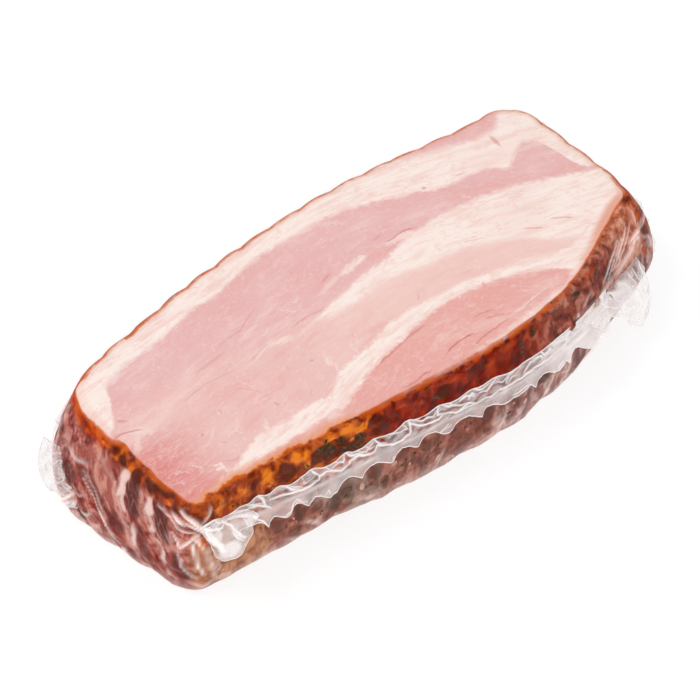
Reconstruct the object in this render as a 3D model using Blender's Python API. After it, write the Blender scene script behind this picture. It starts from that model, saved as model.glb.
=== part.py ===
"""A vacuum-packed block of smoked bacon, lying on its rind side with the cut face up.

The block is wrapped in tight clear film.  The film is folded over at the left end and
welded along the front, the right end and the back, where it leaves ruffled strips and
loose ears at the corners.  X runs along the block, the front is -Y, and the origin is
the middle of the flat underside.
"""
import math

import bmesh
import bpy
import numpy

MM = 0.001

# The block
HEIGHT = 44.0 * MM
BELLY_AT = 13.0 * MM     # height where the wall stands out furthest
TOP_EDGE = 1.8 * MM      # rounding of the cut face's edge
FOOT_EDGE = 5.0 * MM     # rounding where the wall turns under
RINGS = (0.0, 0.6, 2.2, 5.0, 10.0, 16.0, 23.0, 30.0, 37.0, 42.2, 43.5, 44.0)  # heights in mm
OUTLINE_POINTS = 232     # points round the finished block
SPAN_STEPS = 12          # points between two anchors of the smooth outline

# Outline of the cut face, anticlockwise from the front left corner:
# x, y, how far the wall bellies out below it, how far its foot stands out (all in mm)
ANCHORS = [
    (-102.6, -30.0, 3.6, 3.6), (-98.5, -32.6, 3.0, 3.2), (-80.0, -33.6, 3.6, 3.0),
    (-58.0, -36.6, 4.4, 4.0), (-18.0, -40.8, 5.6, 5.0), (24.0, -45.2, 6.2, 5.4),
    (56.0, -43.4, 6.4, 3.4), (77.0, -37.0, 7.2, 1.6), (92.0, -30.6, 9.6, 1.2),
    (101.8, -24.0, 11.6, 1.0), (104.2, -13.0, 9.2, 1.4),
    (104.4, 10.0, 5.4, 2.0), (103.4, 30.0, 3.6, 2.0),
    (98.0, 37.0, 3.4, 2.0), (74.0, 40.8, 3.4, 2.4), (28.0, 47.6, 3.6, 2.8),
    (-22.0, 47.8, 3.4, 2.8), (-68.0, 42.6, 4.4, 3.6), (-91.0, 38.4, 6.0, 5.5),
    (-98.6, 34.8, 9.0, 8.6), (-102.0, 29.0, 12.6, 12.0), (-103.6, 20.0, 14.0, 13.0),
    (-104.4, 2.0, 11.4, 9.4), (-104.4, -17.0, 7.0, 5.6),
]

# Folds pressed into the wall by the net that the bacon was smoked in
NET_PITCH = 13.5 * MM
NET_DEPTH = 0.45 * MM
END_PITCH = 9.4 * MM
END_DEPTH = 1.0 * MM
END_SLANT = 0.75         # how far an end fold leans to the front for each unit down

# The welded strips of film
SEAM_GAP = 1.0 * MM      # clear of the wall and its folds
SEAM_WIDTH = 7.0 * MM
SEAM_DROOP = 4.2 * MM
ROOT_THICKNESS = 2.4 * MM
HEM_THICKNESS = 0.7 * MM
SEAM_STEP = 2.1 * MM
HEM_PITCH = 10.5 * MM
HEM_WAVE = 0.9 * MM
ACROSS = (0.0, 0.3, 0.6, 1.0)

# Each strip: start and end as shares of the way round the outline, height of its root at
# x = 0, and how much it rises for each unit to the right
SEAMS = {
    "front_seam": (0.033, 0.340, 33.0 * MM, -0.022),
    "right_seam": (0.405, 0.470, 27.0 * MM, 0.0),
    "back_seam": (0.505, 0.850, 27.0 * MM, 0.0),
}

# Loose ears: share of the way round, height, heading in degrees from +X, spread in
# degrees, reach and drop
EAR_GAP = 1.8 * MM
EAR_RIBS = 10
EAR_RUFFLE = 0.9 * MM
EAR_ACROSS = (0.12, 0.4, 0.7, 1.0)
EARS = {
    "front_left_ear": (0.002, 38.0 * MM, -57.0, 60.0, 15.0 * MM, 6.0 * MM),
    "front_right_ear": (0.362, 31.0 * MM, -120.0, 46.0, 13.0 * MM, 25.0 * MM),
    "back_right_ear": (0.487, 27.0 * MM, 20.0, 80.0, 10.0 * MM, 6.0 * MM),
    "back_left_ear": (0.895, 23.0 * MM, 228.0, 56.0, 11.0 * MM, 4.0 * MM),
}

FILM = (0.86, 0.84, 0.83, 1.0)
SMOKED = (0.42, 0.16, 0.10, 1.0)


def clear_scene():
    for thing in list(bpy.data.objects):
        bpy.data.objects.remove(thing)


def plain_material(name, colour, roughness):
    material = bpy.data.materials.new(name)
    material.use_nodes = True
    shader = material.node_tree.nodes["Principled BSDF"]
    shader.inputs["Base Color"].default_value = colour
    shader.inputs["Roughness"].default_value = roughness
    shader.inputs["Metallic"].default_value = 0.0
    return material


def curve_point(before, start, end, after, share):
    """A point between start and end on a smooth curve through four anchors."""
    anchors = [numpy.array(anchor) for anchor in (before, start, end, after)]
    times = [0.0]
    for one, two in zip(anchors, anchors[1:]):
        times.append(times[-1] + math.sqrt(math.dist(one[:2], two[:2])))
    now = times[1] + (times[2] - times[1]) * share

    def between(one, two, i, j):
        return ((times[j] - now) * one + (now - times[i]) * two) / (times[j] - times[i])

    first = between(anchors[0], anchors[1], 0, 1)
    middle = between(anchors[1], anchors[2], 1, 2)
    last = between(anchors[2], anchors[3], 2, 3)
    return between(between(first, middle, 0, 2), between(middle, last, 1, 3), 1, 2)


class Outline:
    """The cut face's outline, read by the distance round it from the front left corner."""

    def __init__(self):
        count = len(ANCHORS)
        rows = []
        for i in range(count):
            four = [ANCHORS[(i + k) % count] for k in (-1, 0, 1, 2)]
            rows += [curve_point(*four, step / SPAN_STEPS) for step in range(SPAN_STEPS)]
        rows = numpy.array(rows + rows[:1]) * MM
        steps = numpy.hypot(*numpy.diff(rows[:, :2], axis=0).T)
        self.rows = rows
        self.distances = numpy.concatenate([[0.0], numpy.cumsum(steps)])
        self.length = self.distances[-1]

    def row(self, distance):
        """x, y, belly and foot at a distance round the outline."""
        place = distance % self.length
        return [float(numpy.interp(place, self.distances, column)) for column in self.rows.T]

    def outward(self, distance, reach=2.0 * MM):
        """The level direction that points straight out of the outline."""
        behind, ahead = self.row(distance - reach), self.row(distance + reach)
        along = (ahead[0] - behind[0], ahead[1] - behind[1])
        length = math.hypot(*along)
        return along[1] / length, -along[0] / length

    def wall(self, distance, height, out=0.0, reach=2.0 * MM):
        """A point on the block's wall, or out from it."""
        x, y, belly, foot = self.row(distance)
        if height > BELLY_AT:
            bulge = belly * math.sin((HEIGHT - height) / (HEIGHT - BELLY_AT) * math.pi / 2)
        else:
            bulge = foot + (belly - foot) * math.sin(height / BELLY_AT * math.pi / 2)
        right, forward = self.outward(distance, reach)
        return x + right * (bulge + out), y + forward * (bulge + out), height


def edge_inset(height):
    """How far the rounded top and foot edges draw the wall in."""
    inset = 0.0
    if height > HEIGHT - TOP_EDGE:
        rise = (height - HEIGHT + TOP_EDGE) / TOP_EDGE
        inset = TOP_EDGE * (1.0 - math.sqrt(max(0.0, 1.0 - rise * rise)))
    if height < FOOT_EDGE:
        drop = 1.0 - height / FOOT_EDGE
        inset = FOOT_EDGE * (1.0 - math.sqrt(max(0.0, 1.0 - drop * drop)))
    return inset


def hump(turns):
    """A row of rounded humps with narrow valleys, from -0.5 to 0.5."""
    return abs(math.sin(math.pi * turns)) - 0.5


def net_fold(outline, distance, height):
    """Height of the folds that the net left: upright on the long sides, slanted at the end."""
    end = min(1.0, max(0.0, (-outline.outward(distance)[0] - 0.4) / 0.4))
    upright = NET_DEPTH * hump(distance / NET_PITCH)
    slanted = END_DEPTH * hump((distance + END_SLANT * height) / END_PITCH)
    fade = math.sin(math.pi * (0.12 + 0.76 * height / HEIGHT))
    return fade * ((1.0 - end) * upright + end * slanted)


def add_object(name, points, faces, material):
    mesh = bpy.data.meshes.new(name)
    mesh.from_pydata(points, [], faces)
    shape = bmesh.new()
    shape.from_mesh(mesh)
    bmesh.ops.recalc_face_normals(shape, faces=shape.faces)
    bmesh.ops.triangulate(shape, faces=shape.faces)
    shape.to_mesh(mesh)
    shape.free()
    mesh.shade_smooth()
    mesh.set_sharp_from_angle(angle=math.radians(40))
    mesh.materials.append(material)
    thing = bpy.data.objects.new(name, mesh)
    bpy.context.scene.collection.objects.link(thing)
    return thing


def build_block(outline, material):
    """Rings of wall points from the underside to the cut face, closed by two fans."""
    points = []
    for height in (ring * MM for ring in RINGS):
        for i in range(OUTLINE_POINTS):
            distance = outline.length * i / OUTLINE_POINTS
            out = net_fold(outline, distance, height) - edge_inset(height)
            points.append(outline.wall(distance, height, out))
    count, rings = OUTLINE_POINTS, len(RINGS)
    points += [(0.0, 0.0, 0.0), (0.0, 0.0, HEIGHT)]
    under, over = rings * count, rings * count + 1
    faces = []
    for i in range(count):
        j = (i + 1) % count
        for ring in range(rings - 1):
            low, high = ring * count, (ring + 1) * count
            faces.append((low + i, low + j, high + j, high + i))
        top = (rings - 1) * count
        faces += [(under, j, i), (over, top + i, top + j)]
    return add_object("wrapped_bacon", points, faces, material)


def closed_sheet(name, upper, lower, material):
    """A thin closed plate from two grids of points with the same rows and columns."""
    rows, columns = len(upper), len(upper[0])
    points = [p for row in upper for p in row] + [p for row in lower for p in row]
    under = rows * columns
    faces = []
    for i in range(rows - 1):
        for j in range(columns - 1):
            corner = i * columns + j
            quad = (corner, corner + 1, corner + columns + 1, corner + columns)
            faces += [quad, tuple(under + p for p in reversed(quad))]
    border = [(0, j) for j in range(columns)] + [(i, columns - 1) for i in range(1, rows)]
    border += [(rows - 1, j) for j in range(columns - 2, -1, -1)]
    border += [(i, 0) for i in range(rows - 2, 0, -1)]
    loop = [i * columns + j for i, j in border]
    for one, two in zip(loop, loop[1:] + loop[:1]):
        faces.append((one, two, under + two, under + one))
    return add_object(name, points, faces, material)


def half_thickness(share):
    return 0.5 * (HEM_THICKNESS + (ROOT_THICKNESS - HEM_THICKNESS) * (1.0 - share) ** 2)


def build_seam(outline, name, start_share, end_share, root_height, rise, material):
    """A strip that follows the wall, droops towards its hem and has a wavy hem."""
    start, end = start_share * outline.length, end_share * outline.length
    stations = max(4, round((end - start) / SEAM_STEP))
    upper, lower = [], []
    for i in range(stations + 1):
        distance = start + (end - start) * i / stations
        wave = math.sin(2.0 * math.pi * distance / HEM_PITCH)
        over, under = [], []
        for share in ACROSS:
            out = SEAM_GAP + share * (SEAM_WIDTH + HEM_WAVE * wave * share)
            height = root_height + rise * outline.row(distance)[0]
            x, y, z = outline.wall(distance, height, out, reach=6.0 * MM)
            z -= SEAM_DROOP * share ** 1.5 + 0.5 * HEM_WAVE * wave * share
            over.append((x, y, z + half_thickness(share)))
            under.append((x, y, z - half_thickness(share)))
        upper.append(over)
        lower.append(under)
    return closed_sheet(name, upper, lower, material)


def build_ear(outline, name, place, height, heading, spread, reach, drop, material):
    """A loose fan of film gathered at one point of the wall."""
    root = outline.wall(place * outline.length, height, EAR_GAP)
    facing = math.radians(heading)
    upper, lower = [], []
    for i in range(EAR_RIBS):
        swing = math.radians(spread) * (i / (EAR_RIBS - 1) - 0.5)
        wave = math.cos(2.0 * math.pi * i / 3.0)
        over, under = [], []
        for share in EAR_ACROSS:
            length = reach * share * (1.0 + 0.06 * wave)
            x = root[0] + length * math.cos(facing + swing)
            y = root[1] + length * math.sin(facing + swing)
            z = root[2] - drop * share ** 1.4 + EAR_RUFFLE * wave * share
            over.append((x, y, z + half_thickness(share)))
            under.append((x, y, z - half_thickness(share)))
        upper.append(over)
        lower.append(under)
    return closed_sheet(name, upper, lower, material)


def build():
    clear_scene()
    outline = Outline()
    smoked = plain_material("smoked_bacon_in_film", SMOKED, 0.30)
    film = plain_material("clear_film", FILM, 0.12)
    build_block(outline, smoked)
    for name, sizes in SEAMS.items():
        build_seam(outline, name, *sizes, film)
    for name, sizes in EARS.items():
        build_ear(outline, name, *sizes, film)


build()
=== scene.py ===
"""The looks of a vacuum-packed block of smoked bacon: the marbled cut face, the smoked and
herbed sides, the clear film pulled over them, its welded seams and the loose ears."""
import math
import random

import bmesh
import bpy
import numpy
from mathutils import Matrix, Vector, noise


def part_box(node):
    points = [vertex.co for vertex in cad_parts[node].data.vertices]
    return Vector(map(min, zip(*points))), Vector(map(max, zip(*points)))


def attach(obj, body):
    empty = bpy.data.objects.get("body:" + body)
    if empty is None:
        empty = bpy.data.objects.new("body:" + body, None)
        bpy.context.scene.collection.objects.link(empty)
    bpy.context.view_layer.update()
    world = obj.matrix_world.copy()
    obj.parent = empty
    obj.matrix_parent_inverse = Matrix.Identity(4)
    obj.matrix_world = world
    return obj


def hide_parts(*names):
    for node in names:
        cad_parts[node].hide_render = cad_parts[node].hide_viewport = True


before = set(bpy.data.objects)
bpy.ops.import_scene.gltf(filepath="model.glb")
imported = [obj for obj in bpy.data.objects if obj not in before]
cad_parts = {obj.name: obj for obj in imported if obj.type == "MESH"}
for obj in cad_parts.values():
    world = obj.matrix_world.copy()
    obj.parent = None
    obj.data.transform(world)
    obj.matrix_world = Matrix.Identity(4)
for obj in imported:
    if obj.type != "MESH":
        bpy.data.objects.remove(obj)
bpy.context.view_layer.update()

MM = 0.001
BODY = "root"
BLOCK = "wrapped_bacon"
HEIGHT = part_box(BLOCK)[1].z

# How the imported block's wall is laid out
WALL_POINTS = 232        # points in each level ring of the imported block
FIRST_CORNER = (-102.6 * MM, -30.0 * MM)
TOP_EDGE = 1.8 * MM      # rounding of the cut face's edge
FOOT_EDGE = 5.0 * MM
NET_PITCH = 13.5 * MM    # upright folds of the long sides
NET_DEPTH = 0.45 * MM
PLAIN_END_PITCH = 9.4 * MM
PLAIN_END_DEPTH = 1.0 * MM
PLAIN_END_SLANT = 0.75

# How finely the block and its film are divided
LONG_CELLS = 290
DEEP_CELLS = 90
WALL_LEVELS = 60
CORNER_SHARES = (0.003, 0.386, 0.500, 0.884)   # front left, front right, back right, back left

# The folds at the left end, as they show through the film
END_PITCH = 12.5 * MM
END_DEPTH = 1.5 * MM
END_SLANT = 0.47
END_PHASE = -8.2 * MM    # where a fold's crest would meet the floor
KNOT_PITCH = 15.5 * MM   # height between the net's knots
KNOT_AT = 10.0 * MM

FILM_GAP = 0.30 * MM     # between the meat and the film
FILM_BRIDGE = 0.5        # how much of each valley the film spans


# ------------------------------------------------------------------ curves and noise

def smooth_between(knots, values, wanted):
    """Values read from a smooth curve through the knots, along the first axis of values."""
    slopes = numpy.gradient(values, knots, axis=0)
    at = numpy.clip(numpy.searchsorted(knots, wanted, side="right") - 1, 0, len(knots) - 2)
    shape = (-1,) + (1,) * (values.ndim - 1)
    width = (knots[at + 1] - knots[at]).reshape(shape)
    share = ((wanted - knots[at]).reshape(shape)) / width
    square = share * share
    cube = square * share
    return ((2 * cube - 3 * square + 1) * values[at] + (cube - 2 * square + share) * width * slopes[at]
            + (3 * square - 2 * cube) * values[at + 1] + (cube - square) * width * slopes[at + 1])


def hump(turns):
    """Rounded humps with narrow valleys, from -0.5 to 0.5."""
    return numpy.abs(numpy.sin(numpy.pi * turns)) - 0.5


def ease(value, low, high):
    """0 below low, 1 above high and a smooth step between."""
    share = numpy.clip((value - low) / (high - low), 0.0, 1.0)
    return share * share * (3.0 - 2.0 * share)


def ripple(across, along, turn, size_across, size_along=None):
    """Smooth noise from about -1 to 1 over two arrays of lengths, one value for each pair."""
    size_along = size_along or size_across
    flat = zip(numpy.ravel(across) / size_across, numpy.ravel(along) / size_along)
    values = [noise.noise(Vector((a, b, turn))) for a, b in flat]
    return numpy.array(values).reshape(numpy.shape(across)) * 2.0


def line_distance(across, along, points):
    """Distance of each place to a line through the points, and the share of the way along it."""
    best = numpy.full(numpy.shape(across), 1.0)
    where = numpy.zeros(numpy.shape(across))
    for step, (one, two) in enumerate(zip(points, points[1:])):
        run = (two[0] - one[0], two[1] - one[1])
        share = ((across - one[0]) * run[0] + (along - one[1]) * run[1]) / (run[0] ** 2 + run[1] ** 2)
        share = numpy.clip(share, 0.0, 1.0)
        apart = numpy.hypot(across - one[0] - share * run[0], along - one[1] - share * run[1])
        nearer = apart < best
        best = numpy.where(nearer, apart, best)
        where = numpy.where(nearer, (step + share) / (len(points) - 1), where)
    return best, where


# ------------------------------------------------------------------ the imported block's wall

class Wall:
    """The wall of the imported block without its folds, read by the share of the way round,
    anticlockwise from the front left corner, and by height."""

    def __init__(self, node):
        shape = bmesh.new()
        shape.from_mesh(node.data)
        bmesh.ops.remove_doubles(shape, verts=shape.verts, dist=0.01 * MM)
        places = numpy.array([point.co for point in shape.verts])
        shape.free()
        levels = numpy.unique(places[:, 2].round(5))
        rings = [self.ring(places[numpy.abs(places[:, 2] - level) < 0.02 * MM][:, :2]) for level in levels]
        start = numpy.argmin(numpy.hypot(*(rings[-1] - FIRST_CORNER).T))
        rings[-1] = numpy.roll(rings[-1], -start, axis=0)
        for i in range(len(rings) - 2, -1, -1):
            rings[i] = self.lined_up(rings[i], rings[i + 1])
        top = rings[-1]
        outward = self.outward_of(top)
        top = top + outward * TOP_EDGE
        steps = numpy.hypot(*(numpy.roll(top, -1, axis=0) - top).T)
        self.length = float(steps.sum())
        distance = numpy.arange(WALL_POINTS) / WALL_POINTS * self.length
        plain = []
        for level, ring in zip(levels, rings):
            fold = self.packed_fold(distance, level, outward) - edge_inset(numpy.array([level]))
            plain.append(ring - outward * fold[:, None])
        self.step = 0.5 * MM
        fine = numpy.arange(0.0, HEIGHT + self.step / 2, self.step)
        table = smooth_between(levels, numpy.array(plain), fine)
        self.columns = WALL_POINTS * 4
        wide = numpy.arange(-2, WALL_POINTS + 3)
        finer = numpy.arange(self.columns) / 4.0
        around = numpy.swapaxes(table, 0, 1)[wide % WALL_POINTS]
        self.table = smooth_between(wide.astype(float), around, finer)
        self.normals = smooth_between(wide.astype(float), outward[wide % WALL_POINTS], finer)
        self.normals /= numpy.hypot(*self.normals.T)[:, None]

    @staticmethod
    def ring(points):
        return points[numpy.argsort(numpy.arctan2(points[:, 1], points[:, 0]))]

    @staticmethod
    def lined_up(ring, above):
        gaps = [((numpy.roll(ring, -k, axis=0) - above) ** 2).sum() for k in range(WALL_POINTS)]
        return numpy.roll(ring, -int(numpy.argmin(gaps)), axis=0)

    @staticmethod
    def outward_of(ring):
        run = numpy.roll(ring, -1, axis=0) - numpy.roll(ring, 1, axis=0)
        run = (numpy.roll(run, 1, axis=0) + 2 * run + numpy.roll(run, -1, axis=0)) / 4
        run /= numpy.hypot(*run.T)[:, None]
        return numpy.stack([run[:, 1], -run[:, 0]], axis=1)

    @staticmethod
    def packed_fold(distance, height, outward):
        end = numpy.clip((-outward[:, 0] - 0.4) / 0.4, 0.0, 1.0)
        fade = math.sin(math.pi * (0.12 + 0.76 * height / HEIGHT))
        slanted = PLAIN_END_DEPTH * hump((distance + PLAIN_END_SLANT * height) / PLAIN_END_PITCH)
        return fade * ((1 - end) * NET_DEPTH * hump(distance / NET_PITCH) + end * slanted)

    def outward(self, share):
        column = numpy.mod(share, 1.0) * self.columns
        return self.normals[numpy.round(column).astype(int) % self.columns]

    def place(self, share, height, out=0.0):
        """Points on the wall, or out from it, as an array of x, y, z."""
        share, height, out = numpy.broadcast_arrays(share, height, out)
        column = numpy.mod(share, 1.0) * self.columns
        row = numpy.clip(height / self.step, 0.0, self.table.shape[1] - 1.001)
        c0, r0 = column.astype(int), row.astype(int)
        cf, rf = (column - c0)[..., None], (row - r0)[..., None]
        c0, c1, r1 = c0 % self.columns, (c0 + 1) % self.columns, r0 + 1
        level = (1 - cf) * self.table[c0, r0] + cf * self.table[c1, r0]
        above = (1 - cf) * self.table[c0, r1] + cf * self.table[c1, r1]
        facing = (1 - cf) * self.normals[c0] + cf * self.normals[c1]
        spot = (1 - rf) * level + rf * above + facing * out[..., None]
        return numpy.concatenate([spot, height[..., None]], axis=-1)


def edge_inset(height, foot=FOOT_EDGE):
    """How far the rounded top and foot edges draw the wall in."""
    rise = numpy.clip((height - HEIGHT + TOP_EDGE) / TOP_EDGE, 0.0, 1.0)
    drop = numpy.clip(1.0 - height / foot, 0.0, 1.0)
    return (TOP_EDGE * (1.0 - numpy.sqrt(1.0 - rise ** 2))
            + foot * (1.0 - numpy.sqrt(1.0 - drop ** 2)))


WALL = Wall(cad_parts[BLOCK])
AROUND = WALL.length
END_FRONT = -4.0 * MM     # where the left end's folds begin, as a distance round
END_BACK = -66.0 * MM


def signed_distance(share):
    """Distance round from the front left corner, less than zero along the left end."""
    turned = numpy.mod(share, 1.0)
    return numpy.where(turned > 0.82, turned - 1.0, turned) * AROUND


# Rounding of the foot by distance round, in mm: it rolls up between the folds' ends
FOOT_ROUNDING = [(-64, 5.0), (-52, 2.6), (-44, 4.6), (-34, 1.8), (-26, 4.4), (-20, 2.0), (-12, 4.6),
                 (-6, 2.4), (0, 4.6), (6, 7.6), (14, 5.6), (22, 4.0), (33, 4.2), (42, 6.4), (52, 8.4),
                 (62, 6.6), (72, 2.2), (77, 4.0), (84, 1.6), (98, 1.2), (104, 4.4), (112, 2.0), (121, 3.8),
                 (133, 1.2), (140, 7.4), (148, 2.4), (156, 4.4), (164, 1.8), (176, 3.4), (190, 5.0),
                 (215, 5.0)]


def foot_rounding(share):
    distance = signed_distance(share)
    spots, sizes = zip(*FOOT_ROUNDING)
    near = numpy.interp(distance / MM, spots, sizes)
    far = 4.6 + 1.8 * ripple(distance, distance * 0, 61.0, 11 * MM)
    beyond = ease(distance, 205 * MM, 215 * MM) + ease(distance, -62 * MM, -68 * MM)
    return (near + (far - near) * beyond) * MM


def shell_inset(share, height):
    return edge_inset(height, foot_rounding(share))


def fold_relief(share, height):
    """How far the net's folds raise the meat: lozenges at the left end, ribs elsewhere."""
    distance = signed_distance(share)
    end = ease(distance, END_BACK - 6 * MM, END_BACK + 6 * MM) * ease(-distance, 0.0, -2 * END_FRONT)
    wander = 1.6 * MM * ripple(distance, height, 3.7, 31 * MM)
    rib = hump((distance + wander) / NET_PITCH) * 0.75 * MM
    rib += 0.22 * MM * ripple(distance, height, 9.1, 8 * MM, 13 * MM)
    turn = (distance + END_SLANT * height + 0.6 * wander - END_PHASE) / END_PITCH + 0.5
    knots = 0.55 + 0.45 * numpy.abs(numpy.sin(numpy.pi * (height - KNOT_AT) / KNOT_PITCH))
    lozenge = END_DEPTH * (hump(turn) * knots + 0.12 * ripple(distance, height, 5.3, 7 * MM))
    fade = numpy.sin(numpy.pi * (0.10 + 0.80 * height / HEIGHT))
    plain = ease(distance, 200 * MM, 226 * MM) + ease(distance, -66 * MM, -76 * MM)
    held = 0.35 + 0.65 * ease(height, 0.0, 12 * MM)
    fade = fade + plain * (held - fade)
    return fade * ((1 - end) * rib + end * lozenge)


# Creases in the film over the wall: distance round and height in mm, then width (mm), rise (mm)
# and how white they show: the film's milkiness together with painted highlight along the crease
CREASES = [
    # left end
    ([(-33.4, 20.6), (-31, 18), (-28.8, 15)], 0.55, 0.8, 0.95),
    ([(-43, 27.5), (-36.5, 24), (-31, 18.4), (-27, 12.4), (-24.4, 10)], 0.4, 0.6, 0.45),
    ([(-44, 29.6), (-37.5, 27.6), (-31, 21.4), (-27.6, 16)], 0.5, 0.6, 0.22),
    ([(-39, 38), (-30, 33.8), (-24.4, 25.6), (-21, 18.4), (-21.6, 11.6)], 0.9, 0.5, 0.12),
    ([(-44.8, 19.6), (-47.6, 14.6), (-52, 8.4), (-57.4, 1.6)], 0.8, 1.0, 0.85),
    ([(-44.6, 16.4), (-48.4, 10.4), (-54, 3.4)], 0.7, 0.7, 0.6),
    ([(-43.4, 16.8), (-46, 12.4)], 0.6, 0.7, 0.75),
    ([(-54.6, 16.6), (-58, 9.6), (-61.6, 3)], 0.8, 0.8, 0.7),
    ([(-56, 9), (-59, 4)], 0.5, 0.5, 0.6),
    ([(-53, 31.6), (-48, 31.6), (-43.6, 32.4)], 0.8, 0.4, 0.35),
    ([(-41, 13), (-38.4, 13.8)], 0.8, 0.4, 0.5),
    ([(-25, 4), (-22.8, 9)], 0.9, 0.4, 0.5),
    ([(-54, 25.6), (-53, 21.4), (-50.6, 20.2)], 0.5, 0.6, 0.3),
    ([(-46.4, 22), (-42.4, 20.6), (-40.4, 22.4)], 0.5, 0.6, 0.25),
    ([(-61, 40), (-58.6, 27), (-59.6, 16)], 0.8, 0.5, 0.2),
    ([(-12, 38.6), (-8.4, 38), (-5, 36.2), (-2, 34.8)], 0.5, 0.7, 0.5),
    # front left gather
    ([(-5.2, 39.2), (-3.4, 38.2), (-1.6, 37.2)], 0.9, 0.9, 1.0),
    ([(-2.6, 42.4), (0.4, 40.2), (3.2, 36.8), (6.2, 33)], 0.7, 1.1, 1.0),
    ([(-0.6, 38.4), (2.0, 36.6), (5.4, 32.6)], 0.6, 0.8, 0.8),
    ([(-4.6, 31.4), (-2.8, 29), (-2.2, 25.6)], 0.5, 0.8, 0.7),
    ([(-2.4, 25.6), (-0.4, 29.4), (1.8, 33.6)], 0.5, 0.9, 0.8),
    ([(-3.6, 35), (-1.4, 34.6), (1.6, 34.6)], 0.6, 0.7, 0.5),
    ([(-3, 24), (-1.6, 17), (0.6, 11)], 0.5, 0.5, 0.35),
    ([(2.4, 34), (0.8, 28), (1.4, 20), (2.4, 12)], 0.4, 0.9, 0.8),
    ([(2.6, 33), (2.4, 29), (3.2, 26)], 0.4, 0.8, 0.7),
    ([(4.4, 32), (5.6, 28), (7.6, 24)], 0.4, 0.8, 0.6),
    ([(4, 26), (4.6, 18), (5.6, 9)], 0.9, 0.6, 0.25),
    ([(3.6, 38), (6, 41), (7, 43)], 0.6, 0.6, 0.35),
    ([(-0.4, 9), (2.2, 6.4), (4.6, 8.6)], 0.8, 0.6, 0.35),
    # front right
    ([(195.6, 35.8), (200, 35), (203.2, 33.4)], 0.7, 0.9, 0.9),
    ([(196, 34.2), (199.6, 33.4), (202, 31.8)], 0.5, 0.8, 0.8),
    ([(175, 34), (181.6, 38), (190, 40.8)], 0.5, 0.7, 0.55),
    ([(178, 33.4), (184, 36.8), (192, 40)], 0.4, 0.6, 0.5),
    ([(184, 34.6), (190, 37.8), (197, 41)], 0.6, 0.7, 0.6),
    ([(187, 34), (193, 36.8), (200, 39.6)], 0.4, 0.6, 0.5),
    ([(181, 34.4), (186, 33.4), (190, 36)], 0.6, 0.7, 0.45),
    ([(171, 32.2), (176, 31.4), (180, 33)], 0.7, 0.5, 0.35),
    ([(160, 31), (170, 30.6), (182, 31.6)], 1.6, 0.4, 0.25),
    ([(184, 30.6), (192, 32), (201, 33.6)], 1.8, 0.5, 0.40),
    ([(157.6, 34), (159.4, 32.6)], 0.9, 0.4, 0.3),
    ([(162, 34), (165, 36.6), (167.4, 37.2)], 0.9, 0.4, 0.2),
    ([(202, 34), (206, 28), (208, 20), (209.6, 9)], 0.5, 0.8, 0.3),
    ([(204, 36), (210, 34), (220, 37)], 0.5, 0.7, 0.4),
    ([(203, 34.6), (207, 33.8), (213, 32.6)], 0.6, 0.5, 0.35),
    ([(205, 26), (213, 15), (223, 4)], 0.6, 0.8, 0.25),
    ([(203, 36.4), (204.6, 40), (204, 43)], 0.5, 0.7, 0.3),
    # lower front, where the film slackens
    ([(118, 3), (121, 9), (122.6, 14)], 1.1, 0.5, 0.32),
    ([(124, 5), (128, 8), (131, 12)], 1.4, 0.4, 0.22),
    ([(139.4, 6), (141.6, 13), (144.6, 17)], 1.0, 0.5, 0.36),
    ([(137, 3), (140, 9)], 0.8, 0.4, 0.25),
    ([(148, 3), (151, 11), (152.6, 17)], 1.2, 0.5, 0.3),
    ([(158, 3), (162, 9), (163.4, 14)], 0.9, 0.4, 0.28),
    ([(166, 2), (170, 8), (173, 13)], 1.0, 0.5, 0.35),
    ([(41, 13), (44.6, 10), (47, 6)], 1.3, 0.4, 0.25),
    ([(33, 8), (37, 5.6), (42, 5)], 1.2, 0.4, 0.22),
    ([(62, 10), (66, 7), (70, 7)], 1.2, 0.4, 0.2),
    ([(93, 2.6), (95, 8), (96.6, 12)], 0.9, 0.4, 0.25),
    # back and right
    ([(262, 27), (272, 35), (290, 38)], 0.5, 0.8, 0.35),
    ([(262, 25), (276, 20), (296, 14)], 0.6, 0.8, 0.25),
    ([(262, 22), (268, 10), (276, 2)], 0.6, 0.8, 0.25),
    ([(258, 27), (246, 34), (236, 37)], 0.5, 0.8, 0.3),
    ([(258, 23), (248, 12), (242, 3)], 0.6, 0.7, 0.25),
    ([(-66, 27), (-76, 33), (-90, 36.4)], 0.5, 0.8, 0.35),
    ([(-58, 24), (-64, 24.6), (-71, 24)], 1.0, 0.8, 0.6),
    ([(-57, 22.4), (-63, 21.6), (-70, 21)], 0.6, 0.6, 0.5),
    ([(-66, 22), (-74, 12), (-82, 3)], 0.6, 0.8, 0.3),
]
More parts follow.
